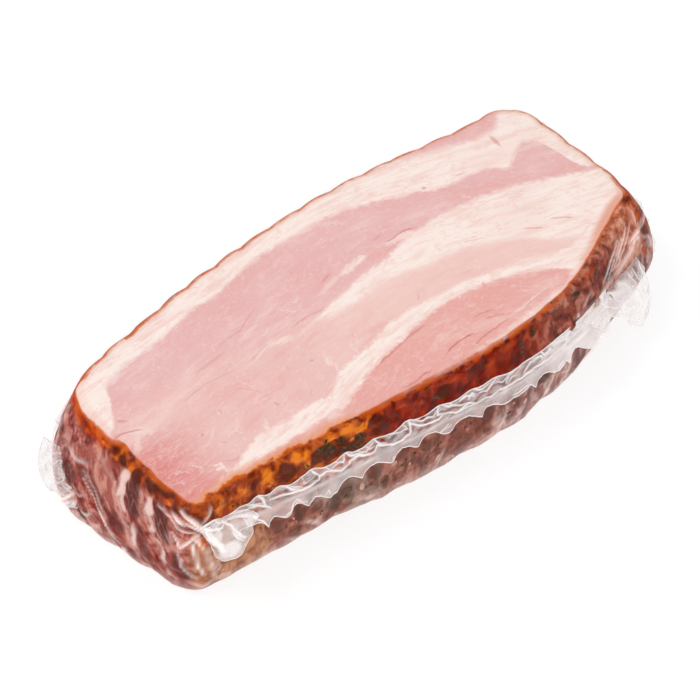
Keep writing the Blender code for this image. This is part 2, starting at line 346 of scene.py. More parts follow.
# Spots on the wall: distance round and height of the middle, half length, half width (mm), turn in
# degrees and strength
DARK_SPOTS = [
    # upper front
    (24.6, 41, 2.6, 3.4, 0, 0.75), (35, 41.2, 2.6, 2.6, 0, 0.8), (37, 38, 4.4, 2.8, -8, 0.85),
    (13, 41.4, 2.2, 1.6, 0, 0.45), (47.4, 39, 2.6, 3.6, 0, 0.9), (50.4, 41, 3.2, 2.4, 0, 0.85),
    (52.4, 37, 4.4, 2.4, 0, 0.9), (57.6, 39.6, 2.6, 2.8, 0, 0.9), (59.6, 36, 5.4, 1.9, 0, 0.85),
    (65.4, 37.6, 2.4, 1.6, 20, 0.8), (72, 41, 3.4, 1.6, 0, 0.85), (73.6, 37, 4.6, 2.8, 0, 0.75),
    (79, 37.6, 2.4, 3, 0, 0.4), (90, 36.4, 4, 2.0, 0, 0.45), (98.4, 37.4, 4.2, 3, 0, 0.85),
    (104.6, 35.6, 5, 2.2, 0, 0.7), (112, 40.2, 5.4, 2.0, 0, 0.8), (122, 36.6, 3, 3, 0, 0.5),
    (128.6, 34.4, 4, 2.2, 0, 0.7), (131.4, 40, 1.6, 3.2, 0, 0.5), (137.4, 40.8, 1.6, 2.6, 0, 0.8),
    (135, 34.4, 4, 2, 0, 0.5), (149.6, 39.6, 3.4, 3, 0, 0.55), (147, 34.6, 4.4, 2, 0, 0.45),
    (160.4, 41, 3, 2.0, 0, 0.75), (166.4, 32.4, 3.4, 2, -25, 0.85), (173.4, 38.4, 2.6, 3.6, 0, 0.6),
    (179.4, 33.8, 3.6, 2.6, -30, 0.85), (188.6, 41.2, 4, 1.1, 0, 0.5), (172.4, 30.4, 2.4, 1.2, 0, 0.6),
    (206.4, 31, 1.8, 5, 12, 0.6),
    # lower front
    (30, 17.6, 3.0, 5.4, 0, 0.55), (39.6, 18, 2.8, 5, 0, 0.6), (46, 17, 2.4, 4.4, 0, 0.5),
    (52.6, 14, 2.6, 5.6, 0, 0.75), (57.6, 17.4, 4, 5.4, 0, 0.65), (68, 19, 3.6, 5.2, 0, 0.55),
    (72.4, 10.6, 2.2, 4, 0, 0.6), (81, 20, 3.6, 4.2, 0, 0.5), (91, 19, 4.2, 4, 0, 0.5),
    (85, 14.6, 3.4, 3, 0, 0.5), (89, 10, 3, 2.6, 0, 0.5), (96, 18, 2.6, 3.4, 0, 0.4),
    (99, 8, 2.4, 4, 0, 0.35), (115.4, 18.4, 3.2, 5, 0, 0.65), (120, 12.6, 2, 4, 0, 0.3),
    (129, 14, 3.6, 4, 0, 0.35), (139, 19, 3.8, 3, 0, 0.8), (134.6, 14, 2.6, 5, 12, 0.4),
    (146, 7.6, 2.4, 4, 0, 0.35), (157.4, 12, 2.2, 8, 18, 0.7), (168.6, 9, 2.2, 6, 24, 0.7),
    (104.4, 6, 3, 3, 0, 0.35), (22, 6.6, 2.4, 2, 0, 0.3), (16.4, 13, 2, 3, 0, 0.25),
    # left end
    (-36, 42.4, 2.4, 1.7, 0, 0.85), (-31, 41.6, 2.4, 2.4, 0, 1.0), (-24, 40.6, 2.4, 3.4, -30, 0.9),
    (-16.6, 42.2, 3.6, 1.9, 0, 0.95), (-12.6, 42.6, 1.8, 1.5, 0, 0.7), (-5, 41, 2.2, 1.6, 0, 0.7),
    (-1.4, 42.6, 2.4, 1.2, 0, 0.7), (-61, 42.4, 5, 1.0, 0, 0.4), (-50.6, 40.8, 7, 0.9, 0, 0.45),
    (-22.4, 33.6, 9.2, 3.0, -72, 0.95), (-9.4, 31.8, 8.2, 3.0, -72, 0.95),
    (-15.0, 16.8, 9.8, 2.7, -77, 0.62), (-2.8, 15.4, 9.4, 2.0, -79, 0.62),
    (-26.8, 20.6, 7, 2.0, -62, 0.55), (-50.4, 24, 3.8, 3.4, -30, 0.95), (-47.4, 20.6, 3.6, 1.4, -8, 0.8),
    (-41.4, 11, 5.4, 1.9, 66, 0.75), (-44.6, 28.6, 4.4, 2.6, -25, 0.5), (-37.6, 26.6, 5.6, 2.2, -42, 0.55),
    (-19.6, 6.4, 4.6, 1.8, 80, 0.45), (-30, 7.4, 4, 1.7, 75, 0.35), (-8, 5, 3.2, 2, 0, 0.4),
    (-54.4, 15.4, 4.4, 1.6, 60, 0.5), (-35.4, 14.8, 4.6, 2, 55, 0.35), (-48.4, 8, 5, 1.6, 55, 0.5),
    (-57, 33, 4, 6, 0, 0.25), (-57.4, 20, 2, 8, 0, 0.3), (-64, 8, 3, 8, 0, 0.3),
]
AMBER_SPOTS = [
    (10.4, 39.4, 2.2, 2, 0, 0.6), (18.6, 41, 2.6, 2.6, 0, 0.75), (29.6, 41.4, 2.6, 2.8, 0, 0.85),
    (41.4, 42.6, 4, 1.6, 0, 1.0), (44, 39.6, 1.5, 3, 0, 0.85), (54.4, 42.7, 4, 1.3, 0, 1.0),
    (60.6, 42.4, 3.4, 1.5, 0, 1.0), (62, 39.6, 1.5, 2.4, 0, 0.8), (65.4, 41, 3.2, 1.9, 0, 1.0),
    (69.6, 42.4, 2.2, 1.0, 0, 0.6), (15.8, 37.4, 2, 1.4, 0, 0.45), (30.6, 37, 1.8, 2, 0, 0.6),
    (82, 41, 4, 0.9, 0, 0.5), (87.6, 38.6, 4.6, 1.8, 0, 0.4), (93.4, 42.2, 2.2, 1.1, 0, 0.5),
    (101.6, 40.2, 4.4, 0.9, 0, 0.45), (110.4, 42.5, 5, 0.7, 0, 0.7), (118, 39.6, 3, 1.8, 0, 0.4),
    (125, 41.4, 4.4, 1.8, 0, 0.5), (134, 39.6, 2, 2, 0, 0.35), (148, 43.3, 4, 0.6, 0, 0.7),
    (170, 42.0, 5, 1.6, 0, 0.55), (184.4, 42.0, 4.4, 1.0, 0, 0.3), (191, 30.4, 4.4, 1.3, 10, 0.35),
    (203.4, 41, 3.4, 2.8, 0, 0.4), (207.4, 36.6, 2.2, 3.0, 0, 0.55), (204, 23, 1.4, 3, 20, 0.8),
    (2, 6.8, 1.7, 2.4, 0, 0.55), (107, 15, 4.2, 5, 0, 0.22),
    (-27.6, 42.2, 1.7, 2.2, 0, 0.7), (-33.6, 41.4, 1.2, 2.0, 0, 0.6), (-20.4, 41.8, 1.5, 2.2, 0, 0.65),
    (-9, 41.6, 2.2, 2.0, 0, 0.7), (-40, 42.2, 3, 1.3, 0, 0.5), (-47, 42.4, 5, 1.2, 0, 0.35),
    (1.6, 29, 1.0, 4.4, 0, 0.5), (3.4, 30, 1.2, 3, 10, 0.45),
]
TAN_SPOTS = [
    (22.4, 15, 2.4, 7, 0, 0.8), (7, 12, 2.6, 3.6, 0, 0.5), (13, 41.4, 5, 1.8, 0, 0.45), (2.6, 20, 2.2, 9.5, 0, 0.9),
    (11, 9, 4, 4, 0, 0.5), (36.4, 16, 2, 4, 0, 0.25), (43, 14, 1.8, 4, 0, 0.3), (17, 8, 3, 3, 0, 0.45),
    (82.4, 8.6, 3.4, 3.4, 0, 0.35), (91.4, 5.6, 3, 2, 0, 0.4), (61.6, 12, 2.4, 4, 0, 0.3),
    (146, 11.4, 2.4, 4.2, 0, 0.75), (162.6, 13, 1.2, 5, 24, 0.5), (165.6, 5, 1.3, 6, 28, 0.5),
    (196, 29, 8, 2.4, -20, 0.7), (186, 30, 6, 3, 0, 0.5), (192, 36, 7, 3, 25, 0.5),
    (-37, 34.4, 9, 4.4, -28, 0.95), (-38, 30.4, 6, 2.6, -30, 0.95), (-30.4, 27.4, 8, 2.8, -55, 0.85), (-23.6, 16.6, 6, 1.8, -75, 0.5),
    (-47.6, 34.8, 5.4, 2.4, 8, 0.6), (-41, 22.4, 4.4, 1.7, -45, 0.4), (-18.4, 31.4, 8, 1.4, -66, 0.75),
    (-12.2, 20, 6, 1.2, -68, 0.5), (-5.6, 35, 3, 2, -50, 0.5), (-33, 41, 2, 1, 0, 0.3),
]
# Pale spots: the film's whitish glare, a painted highlight, and its milky veil, as they show over the wall
HAZE_AND_GLARE_SPOTS = [
    (-27.9, 35.2, 5.6, 1.9, -82, 1.0), (-25.6, 29.2, 3.4, 0.9, -62, 0.8),
    (-15.3, 34.4, 5.0, 1.7, -84, 1.0), (-13.2, 28.2, 3.6, 0.9, -62, 0.8),
    (-18.9, 18.4, 6.6, 1.3, 87, 0.95), (-7.9, 16.6, 4.8, 1.3, 86, 0.8), (-20.8, 21, 3.4, 1.5, -50, 0.35),
    (-9.8, 22.6, 3.2, 1.0, -35, 0.55), (-18.2, 9.8, 2.4, 1.6, 80, 0.5), (-6.6, 9, 3, 1.3, 80, 0.45),
    (-28, 12, 4.4, 2, -70, 0.5), (-24, 5, 2.4, 1.6, 60, 0.65), (-35.6, 8.4, 3.4, 2.4, 60, 0.4),
    (-38.4, 13.6, 2.6, 0.9, 40, 0.6), (-31, 4, 4, 2.6, 0, 0.45), (-12.6, 4.2, 5, 2.2, 0, 0.5),
    (-45, 6, 3.4, 4, 60, 0.45), (-58.6, 18, 11, 1.6, 78, 0.45), (-60.8, 8, 6, 2.4, 70, 0.5),
    (-36, 2.6, 30, 2.4, 0, 0.4), (-55.4, 29, 2.4, 6, 0, 0.25), (-5.4, 27.6, 3, 1.4, -60, 0.4),
    (9, 7, 3.4, 2.2, 0, 0.5), (6.6, 15, 1.6, 3, 0, 0.35), (44, 10.6, 3.2, 2.2, 0, 0.45),
    (54.4, 6.6, 3.4, 1.7, 0, 0.45), (120.6, 9, 2.6, 6, 18, 0.45), (127, 6.6, 3.6, 4, 30, 0.35),
    (112, 3.6, 8, 1.8, 0, 0.45), (136, 9, 2, 7, 15, 0.35), (141.6, 12, 1.8, 6.6, 14, 0.5),
    (151, 13, 1.4, 6.4, 10, 0.35), (37, 5, 4, 2, 0, 0.35), (67, 6, 3, 2, 0, 0.35),
    (99.4, 5, 2.4, 2.4, 0, 0.35), (78, 5, 3, 2, 0, 0.25), (24, 4, 4, 1.6, 0, 0.3),
    (163.4, 9, 1.0, 6, 24, 0.35),
]
OLIVE_SPOTS = [
    (17, 37.4, 1.4, 1.2, 0, 0.7), (6.4, 40.4, 1.0, 1.8, 0, 0.5), (50, 41.2, 2.4, 1.5, 0, 0.9),
    (53, 39.6, 1.7, 3, 0, 0.85), (57.4, 40.4, 2, 1.6, 0, 0.95), (59, 36, 4.6, 1.4, 0, 0.75),
    (65, 37.6, 1.9, 1.4, 20, 0.95), (64.4, 34.6, 4, 1.0, 0, 0.75), (41.8, 37.4, 1.6, 1.5, 0, 0.6),
    (46.4, 39, 1.1, 3, 0, 0.55), (98.4, 36.4, 3.4, 2.0, 0, 0.6), (93.4, 42, 1.7, 0.9, 0, 0.6),
    (137.3, 40.9, 1.3, 2.3, 0, 1.0), (160.6, 41.2, 2.6, 1.6, -10, 0.95), (129, 35, 2.6, 2, 0, 0.5),
    (57.6, 18, 3.4, 4.6, 0, 0.45), (53, 14, 2.2, 4, 0, 0.35), (68.4, 19, 2.6, 4.6, 0, 0.4),
    (72.2, 12, 1.5, 2.6, 0, 0.7), (78.6, 14, 2.4, 2.4, 0, 0.5), (84, 16.6, 2.2, 2.6, 0, 0.6),
    (89, 10.4, 2.2, 2.4, 0, 0.55), (95, 15.6, 1.6, 3.4, 0, 0.45), (81, 10.4, 1.4, 1.4, 0, 0.3),
    (118.4, 15, 1.6, 3, 0, 0.25), (46.4, 8, 2, 3, 0, 0.25),
]


def made_up_spots(seed, start, end, count, low, high, sizes):
    """Seeded spots for the sides away from the front."""
    chance = random.Random(seed)
    return [(chance.uniform(start, end), chance.uniform(low, high), chance.uniform(*sizes),
             chance.uniform(*sizes), chance.uniform(-30, 30), chance.uniform(0.35, 0.9))
            for _ in range(count)]


def fold_spots(start, end, height, tall, strength):
    """One tall spot in each of the net's folds."""
    return [(13.5 * (step + 0.5) - 0.4, height, 3.0, tall, 4, strength)
            for step in range(int(start / 13.5), int(end / 13.5))]


DARK_SPOTS += fold_spots(216, 470, 16, 8.0, 0.55) + made_up_spots(3, 212, 470, 34, 31, 38, (1.8, 4.2))
DARK_SPOTS += made_up_spots(4, 212, 470, 30, 3, 28, (1.6, 4.0))
AMBER_SPOTS += made_up_spots(5, 214, 472, 26, 38, 43, (1.2, 3.6))
TAN_SPOTS += made_up_spots(6, 214, 472, 40, 3, 28, (1.6, 4.6))
HAZE_AND_GLARE_SPOTS += made_up_spots(7, 216, 470, 26, 2, 14, (1.4, 4.4))
OLIVE_SPOTS += made_up_spots(8, 214, 470, 26, 5, 36, (0.7, 1.8))


def crease_marks(share, height):
    """How far the film stands off in its creases, and how white they show, milky film with painted highlight."""
    distance = signed_distance(share)
    wander = 0.30 * MM * ripple(distance, height, 14.2, 5 * MM)
    raised, milk_and_highlight = numpy.zeros(numpy.shape(distance)), numpy.zeros(numpy.shape(distance))
    for points, width, rise, milk_and_highlight_share in CREASES:
        line = [(one * MM, two * MM) for one, two in points]
        apart, along = line_distance(distance + wander, height + wander, line)
        ends = numpy.sin(numpy.pi * (0.12 + 0.76 * along)) ** 0.7
        raised = numpy.maximum(raised, rise * MM * ends * numpy.exp(-(apart / (width * MM)) ** 1.6))
        milk_and_highlight = numpy.maximum(milk_and_highlight, milk_and_highlight_share * ends * numpy.exp(-(apart / (0.85 * width * MM)) ** 2.0))
    return raised, milk_and_highlight


def crease_relief(share, height):
    return crease_marks(share, height)[0]


def spotted(share, height, spots, sharpness=0.5):
    """How strongly soft-edged spots cover each place of the wall."""
    distance = signed_distance(share)
    across = distance / MM + 0.9 * ripple(distance, height, 31.0, 3.6 * MM, 4.6 * MM)
    along = height / MM + 0.9 * ripple(distance, height, 47.0, 4.0 * MM, 3.4 * MM)
    cover = numpy.zeros(numpy.shape(across))
    for middle, tall, long_half, short_half, turn, strength in spots:
        cosine, sine = math.cos(math.radians(turn)), math.sin(math.radians(turn))
        dx, dy = across - middle, along - tall
        dx = dx - AROUND / MM * numpy.round(dx * MM / AROUND)
        reach = numpy.hypot((cosine * dx + sine * dy) / long_half, (cosine * dy - sine * dx) / short_half)
        cover = numpy.maximum(cover, strength * ease(reach, 1.35, sharpness))
    return cover


# ------------------------------------------------------------------ mesh helpers

def settle(piece):
    """Leaves a piece unturned and unscaled at the origin, shaded smooth."""
    bpy.ops.object.select_all(action="DESELECT")
    bpy.context.view_layer.objects.active = piece
    piece.select_set(True)
    bpy.ops.object.transform_apply(location=True, rotation=True, scale=True)
    bpy.ops.object.shade_smooth()
    piece.select_set(False)
    return piece


def points_of(piece):
    places = numpy.empty(len(piece.data.vertices) * 3)
    piece.data.vertices.foreach_get("co", places)
    return places.reshape(-1, 3)


def move_points(piece, places):
    piece.data.vertices.foreach_set("co", numpy.ascontiguousarray(places, dtype=float).ravel())
    piece.data.update()


def add_mask(piece, name, values):
    mask = piece.data.attributes.new(name, "FLOAT", "POINT")
    mask.data.foreach_set("value", numpy.ascontiguousarray(values, dtype=numpy.float32).ravel())


def unit_grid(name, columns, rows):
    """A flat grid primitive from 0 to 1 each way."""
    bpy.ops.object.select_all(action="DESELECT")
    bpy.ops.mesh.primitive_grid_add(x_subdivisions=columns, y_subdivisions=rows, size=1.0,
                                    location=(0.5, 0.5, 0.0))
    piece = bpy.context.object
    bpy.ops.object.transform_apply(location=True, rotation=True, scale=True)
    piece.name = name
    piece.data.name = name
    return piece


def thicken(piece, thickness):
    solid = piece.modifiers.new("wall", "SOLIDIFY")
    solid.thickness = thickness
    solid.offset = 0.0
    solid.use_even_offset = False
    bpy.context.view_layer.objects.active = piece
    bpy.ops.object.modifier_apply(modifier=solid.name)


def join_into(piece, others):
    bpy.ops.object.select_all(action="DESELECT")
    for other in others:
        other.select_set(True)
    piece.select_set(True)
    bpy.context.view_layer.objects.active = piece
    bpy.ops.object.join()
    piece.select_set(False)
    return piece


def wall_levels():
    """Heights of the shell's rings from the cut face down, closer together at both edges."""
    turns = numpy.linspace(0.0, math.pi / 2, 7)
    top = HEIGHT - TOP_EDGE * (1.0 - numpy.cos(turns))
    foot = FOOT_EDGE * (1.0 - numpy.sin(turns))
    between = numpy.linspace(HEIGHT - TOP_EDGE, FOOT_EDGE, WALL_LEVELS - 11)[1:-1]
    return numpy.concatenate([top, between, foot])


def boxed_grid(name, levels):
    """A grid whose border is extruded down ring by ring and closed underneath."""
    piece = unit_grid(name, LONG_CELLS, DEEP_CELLS)
    bpy.ops.object.mode_set(mode="EDIT")
    bpy.ops.mesh.select_mode(type="EDGE")
    bpy.ops.mesh.select_all(action="DESELECT")
    bpy.ops.mesh.select_non_manifold()
    for _ in range(levels - 1):
        bpy.ops.mesh.extrude_region_move(TRANSFORM_OT_translate={"value": (0.0, 0.0, -1.0)})
    bpy.ops.mesh.edge_face_add()
    for width in (0.02, 0.06, 0.12, 0.14):
        bpy.ops.mesh.inset(thickness=width, use_even_offset=False)
    bpy.ops.object.mode_set(mode="OBJECT")
    return piece


def border_share(a, b):
    """Share of the way round for a place on the border of the unit square."""
    front_left, front_right, back_right, back_left = CORNER_SHARES
    sides = [b <= 1e-4, a >= 1 - 1e-4, b >= 1 - 1e-4]
    shares = [front_left + (front_right - front_left) * a,
              front_right + (back_right - front_right) * b,
              back_right + (back_left - back_right) * (1 - a)]
    left = back_left + (1.0 + front_left - back_left) * (1 - b)
    return numpy.select(sides, shares, left)


def patch(a, b, ring):
    """A smooth patch inside a ring of the block: ring takes shares and gives places."""
    zero, one = numpy.zeros_like(a), numpy.ones_like(a)
    front, back = ring(border_share(a, zero)), ring(border_share(a, one))
    left, right = ring(border_share(zero, b)), ring(border_share(one, b))
    corners = [ring(border_share(numpy.array([p]), numpy.array([q]))) for p, q in
               ((0.0, 0.0), (1.0, 0.0), (0.0, 1.0), (1.0, 1.0))]
    a, b = a[:, None], b[:, None]
    blend = ((1 - a) * (1 - b) * corners[0] + a * (1 - b) * corners[1]
             + (1 - a) * b * corners[2] + a * b * corners[3])
    return (1 - b) * front + b * back + (1 - a) * left + a * right - blend


def block_shell(name, side_out, top_out, lift):
    """A closed shell on the block's wall.  side_out(share, height) and top_out(x, y) say how
    far it stands off, and lift is how far its underside is off the floor."""
    levels = wall_levels()
    piece = boxed_grid(name, len(levels))
    unit = points_of(piece)
    a, b = numpy.clip(unit[:, 0], 0, 1), numpy.clip(unit[:, 1], 0, 1)
    level = numpy.round(-unit[:, 2]).astype(int)
    border = (numpy.minimum(a, 1 - a) < 1e-4) | (numpy.minimum(b, 1 - b) < 1e-4)

    def ring(shares, row):
        height = numpy.full(numpy.shape(shares), levels[row])
        out = side_out(shares, height) - shell_inset(shares, height)
        return WALL.place(shares, height, out)

    places = numpy.zeros_like(unit)
    share = border_share(a, b)
    height = levels[level]
    walls = border
    out = side_out(share[walls], height[walls]) - shell_inset(share[walls], height[walls])
    places[walls] = WALL.place(share[walls], height[walls], out)
    for inside, row in ((~border & (level == 0), 0), (~border & (level > 0), len(levels) - 1)):
        places[inside] = patch(a[inside], b[inside], lambda shares, row=row: ring(shares, row))
    top = level == 0
    rim = places[border & top][:, :2]
    rim_share = share[border & top]
    inset = numpy.zeros(len(unit))
    for begin in range(0, int(top.sum()), 2000):
        rows = numpy.flatnonzero(top)[begin:begin + 2000]
        apart = numpy.hypot(places[rows, None, 0] - rim[None, :, 0], places[rows, None, 1] - rim[None, :, 1])
        nearest = apart.argmin(axis=1)
        inset[rows] = apart[numpy.arange(len(rows)), nearest]
        share[rows] = rim_share[nearest]
    shoulder = ease(inset, 0.0, 3 * MM)
    places[top, 2] += top_out(places[top, 0], places[top, 1]) * shoulder[top]
    places[:, 2] = numpy.maximum(places[:, 2] - lift * ease(places[:, 2], HEIGHT - 4 * MM, HEIGHT), lift)
    move_points(piece, places)
    lay_out(piece, share * AROUND, height + inset)
    return settle(piece)


def lay_out(piece, distance, rise):
    """The piece's own map: distance round and rise up the wall, on over the cut face's edge."""
    corners = numpy.empty(len(piece.data.loops), dtype=int)
    piece.data.loops.foreach_get("vertex_index", corners)
    round_it, up_it = distance[corners], rise[corners]
    starts = numpy.empty(len(piece.data.polygons), dtype=int)
    piece.data.polygons.foreach_get("loop_start", starts)
    highest = numpy.maximum.reduceat(round_it, starts)
    owner = numpy.repeat(numpy.arange(len(starts)), numpy.diff(numpy.append(starts, len(corners))))
    crossing = (highest[owner] - round_it) > AROUND / 2
    round_it = numpy.where(crossing, round_it + AROUND, round_it)
    layer = piece.data.uv_layers[0]
    layer.data.foreach_set("uv", numpy.stack([round_it, up_it], axis=1).astype(numpy.float32).ravel())


# ------------------------------------------------------------------ material helpers

def colour(red, green, blue):
    """A linear colour with full alpha from everyday 0 to 255 values."""
    def linear(value):
        value /= 255.0
        return value / 12.92 if value <= 0.04045 else ((value + 0.055) / 1.055) ** 2.4
    return (linear(red), linear(green), linear(blue), 1.0)


class Nodes:
    """Adds nodes to one tree and hands back the sockets they make."""

    def __init__(self, tree):
        self.tree = tree

    def add(self, kind, inputs=None, **settings):
        node = self.tree.nodes.new(kind)
        for name, value in settings.items():
            setattr(node, name, value)
        for name, value in (inputs or {}).items():
            self.give(node.inputs[name], value)
        return node

    def give(self, socket, value):
        if isinstance(value, bpy.types.NodeSocket):
            self.tree.links.new(value, socket)
        else:
            socket.default_value = value

    def maths(self, operation, one, two=None, three=None, clamp=False):
        node = self.add("ShaderNodeMath", operation=operation, use_clamp=clamp)
        for socket, value in zip(node.inputs, (one, two, three)):
            if value is not None:
                self.give(socket, value)
        return node.outputs[0]

    def ease(self, value, low, high, start=0.0, end=1.0):
        """A smooth step of value between low and high."""
        node = self.add("ShaderNodeMapRange", interpolation_type="SMOOTHSTEP")
        for name, given in (("Value", value), ("From Min", low), ("From Max", high),
                            ("To Min", start), ("To Max", end)):
            self.give(node.inputs[name], given)
        return node.outputs["Result"]

    def curve(self, value, points, low, high):
        """A smooth curve through (place, height) points, both in mm.  Heights from low to high."""
        start, end = points[0][0], points[-1][0]
        share = self.maths("DIVIDE", self.maths("SUBTRACT", value, start), end - start)
        node = self.add("ShaderNodeFloatCurve", {"Value": share})
        line = node.mapping.curves[0]
        spots = [((x - start) / (end - start), (y - low) / (high - low)) for x, y in points]
        line.points[0].location = spots[0]
        line.points[1].location = spots[-1]
        for spot in spots[1:-1]:
            line.points.new(*spot)
        node.mapping.extend = "HORIZONTAL"
        node.mapping.use_clip = False
        node.mapping.update()
        return self.maths("MULTIPLY_ADD", node.outputs["Value"], high - low, low)

    def noise(self, place, scale, detail=2.0, roughness=0.5, distortion=0.0):
        node = self.add("ShaderNodeTexNoise", {"Vector": place, "Scale": scale, "Detail": detail,
                                               "Roughness": roughness, "Distortion": distortion})
        return node.outputs["Fac"]

    def vector(self, x, y, z=0.0):
        return self.add("ShaderNodeCombineXYZ", {"X": x, "Y": y, "Z": z}).outputs[0]

    def split(self, place):
        return self.add("ShaderNodeSeparateXYZ", {"Vector": place}).outputs

    def mix(self, share, one, two, blend="MIX"):
        node = self.add("ShaderNodeMix", data_type="RGBA", blend_type=blend)
        self.give(node.inputs[0], share)
        self.give(node.inputs[6], one)
        self.give(node.inputs[7], two)
        return node.outputs[2]

    def most(self, *values):
        result = values[0]
        for value in values[1:]:
            result = self.maths("MAXIMUM", result, value)
        return result

    def product(self, *values):
        result = values[0]
        for value in values[1:]:
            result = self.maths("MULTIPLY", result, value)
        return result

    def millimetres(self, source):
        """Object coordinates or the piece's own map, in mm."""
        if source == "map":
            place = self.add("ShaderNodeUVMap").outputs["UV"]
        else:
            place = self.add("ShaderNodeTexCoord").outputs["Object"]
        scaled = self.add("ShaderNodeVectorMath", {"Scale": 1000.0}, operation="SCALE")
        self.tree.links.new(place, scaled.inputs[0])
        return scaled.outputs[0]

    def mask(self, name):
        return self.add("ShaderNodeAttribute", attribute_name=name).outputs["Fac"]


def new_material(name):
    material = bpy.data.materials.new(name)
    material.use_nodes = True
    material.node_tree.nodes.clear()
    return material, Nodes(material.node_tree)


def finish_material(nodes, shader):
    out = nodes.add("ShaderNodeOutputMaterial")
    nodes.tree.links.new(shader, out.inputs["Surface"])


def new_group(name, inputs, outputs):
    """A shader node group with float or vector inputs and float outputs."""
    group = bpy.data.node_groups.new(name, "ShaderNodeTree")
    for title, kind, value in inputs:
        socket = group.interface.new_socket(title, in_out="INPUT", socket_type="NodeSocket" + kind)
        if value is not None:
            socket.default_value = value
    for title, kind in outputs:
        group.interface.new_socket(title, in_out="OUTPUT", socket_type="NodeSocket" + kind)
    nodes = Nodes(group)
    taken = nodes.add("NodeGroupInput").outputs
    given = nodes.add("NodeGroupOutput").inputs
    return group, nodes, taken, given


def crinkle_group():
    """Fine creases of pulled film, sharp along their crests, stretched along one direction."""
    group, nodes, taken, given = new_group(
        "film_crinkle",
        [("Place", "Vector", None), ("Size", "Float", 6.0), ("Sharpness", "Float", 3.0)],
        [("Crease", "Float"), ("Swell", "Float")])
    size = nodes.maths("DIVIDE", 1.0, taken["Size"])
    base = nodes.noise(taken["Place"], size, 3.0, 0.55, 0.6)
    ridge = nodes.maths("SUBTRACT", 1.0, nodes.maths("ABSOLUTE", nodes.maths(
        "MULTIPLY_ADD", base, 4.0, -2.0)))
    crease = nodes.maths("POWER", nodes.maths("MAXIMUM", ridge, 0.0), taken["Sharpness"])
    nodes.tree.links.new(crease, given["Crease"])
    nodes.tree.links.new(base, given["Swell"])
    return group


def use_group(nodes, group, inputs):
    node = nodes.add("ShaderNodeGroup")
    node.node_tree = group
    for name, value in inputs.items():
        nodes.give(node.inputs[name], value)
    return node.outputs


# ------------------------------------------------------------------ the meat

# Layers of fat across the cut face: their lower and upper edges in mm, and how soft each is
FAT_LAYERS = {
    "back": (
        [(-106, 9), (-102, 11), (-99, 14), (-95, 21), (-91, 28.5), (-86, 30.5), (-74, 31.5), (-62, 32.5),
         (-50, 35), (-40, 35), (-30, 37), (-18, 39.2), (0, 39), (10, 38.2), (20, 36), (30, 32.5),
         (40, 28), (46, 25.5), (52, 21.5), (60, 20.3), (70, 18.8), (74, 16.5), (78, 13), (82, 15.5),
         (88, 18.6), (92, 19), (95, 16.5), (97, 8), (99, -3), (106, -8)],
        [(-106, 60), (-60, 60), (20, 60), (45, 48), (56, 40), (64, 37), (72, 34), (80, 31),
         (88, 31), (94, 36), (106, 46)],
        1.5, 2.4),
    "middle": (
        [(-26, 4.2), (-18, 2.0), (-8, 1.4), (0, 1.6), (8, 2.0), (16, 0.6), (24, -1.8), (32, -3.2),
         (40, -4.6), (48, -8.5), (56, -13), (62, -18), (68, -24), (76, -28), (84, -31), (106, -36)],
        [(-26, 4.4), (-18, 5.0), (-10, 6.4), (-2, 7.8), (6, 8.8), (14, 9.2), (22, 10.5), (32, 12.0),
         (42, 12.4), (52, 10.6), (60, 9.0), (70, 6.2), (80, 2.2), (90, -2.2), (98, -6.4), (106, -10)],
        2.2, 1.3),
    "front": (
        [(-97, -29.4), (-86, -29.2), (-70, -29.8), (-56, -29.6), (-44, -30.2), (-36, -30.4), (-28, -27.2),
         (-18, -24.4), (-8, -22.4), (2, -20.6), (12, -19.4), (22, -19.6), (32, -21.4), (42, -24.6),
         (50, -28.4), (56, -32.2), (61, -36), (66, -41), (106, -50)],
        [(-97, -29.0), (-88, -27.6), (-80, -26), (-74, -23.6), (-66, -21.6), (-58, -22.6), (-50, -22.6),
         (-44, -22.8), (-38, -23.8), (-32, -19.6), (-26, -17.6), (-16, -17.2), (-8, -15), (2, -13.6),
         (14, -14.2), (24, -15.2), (34, -18), (44, -20.4), (52, -22.2), (60, -26), (68, -28.6),
         (76, -27), (106, -27)],
        1.2, 1.0),
    "front_edge": (
        [(4, -50), (40, -50), (104, -50)],
        [(4, -44.6), (14, -42.8), (24, -41.8), (36, -40.6), (48, -40), (56, -39.4), (62, -36), (104, -30)],
        1.0, 1.4),
}
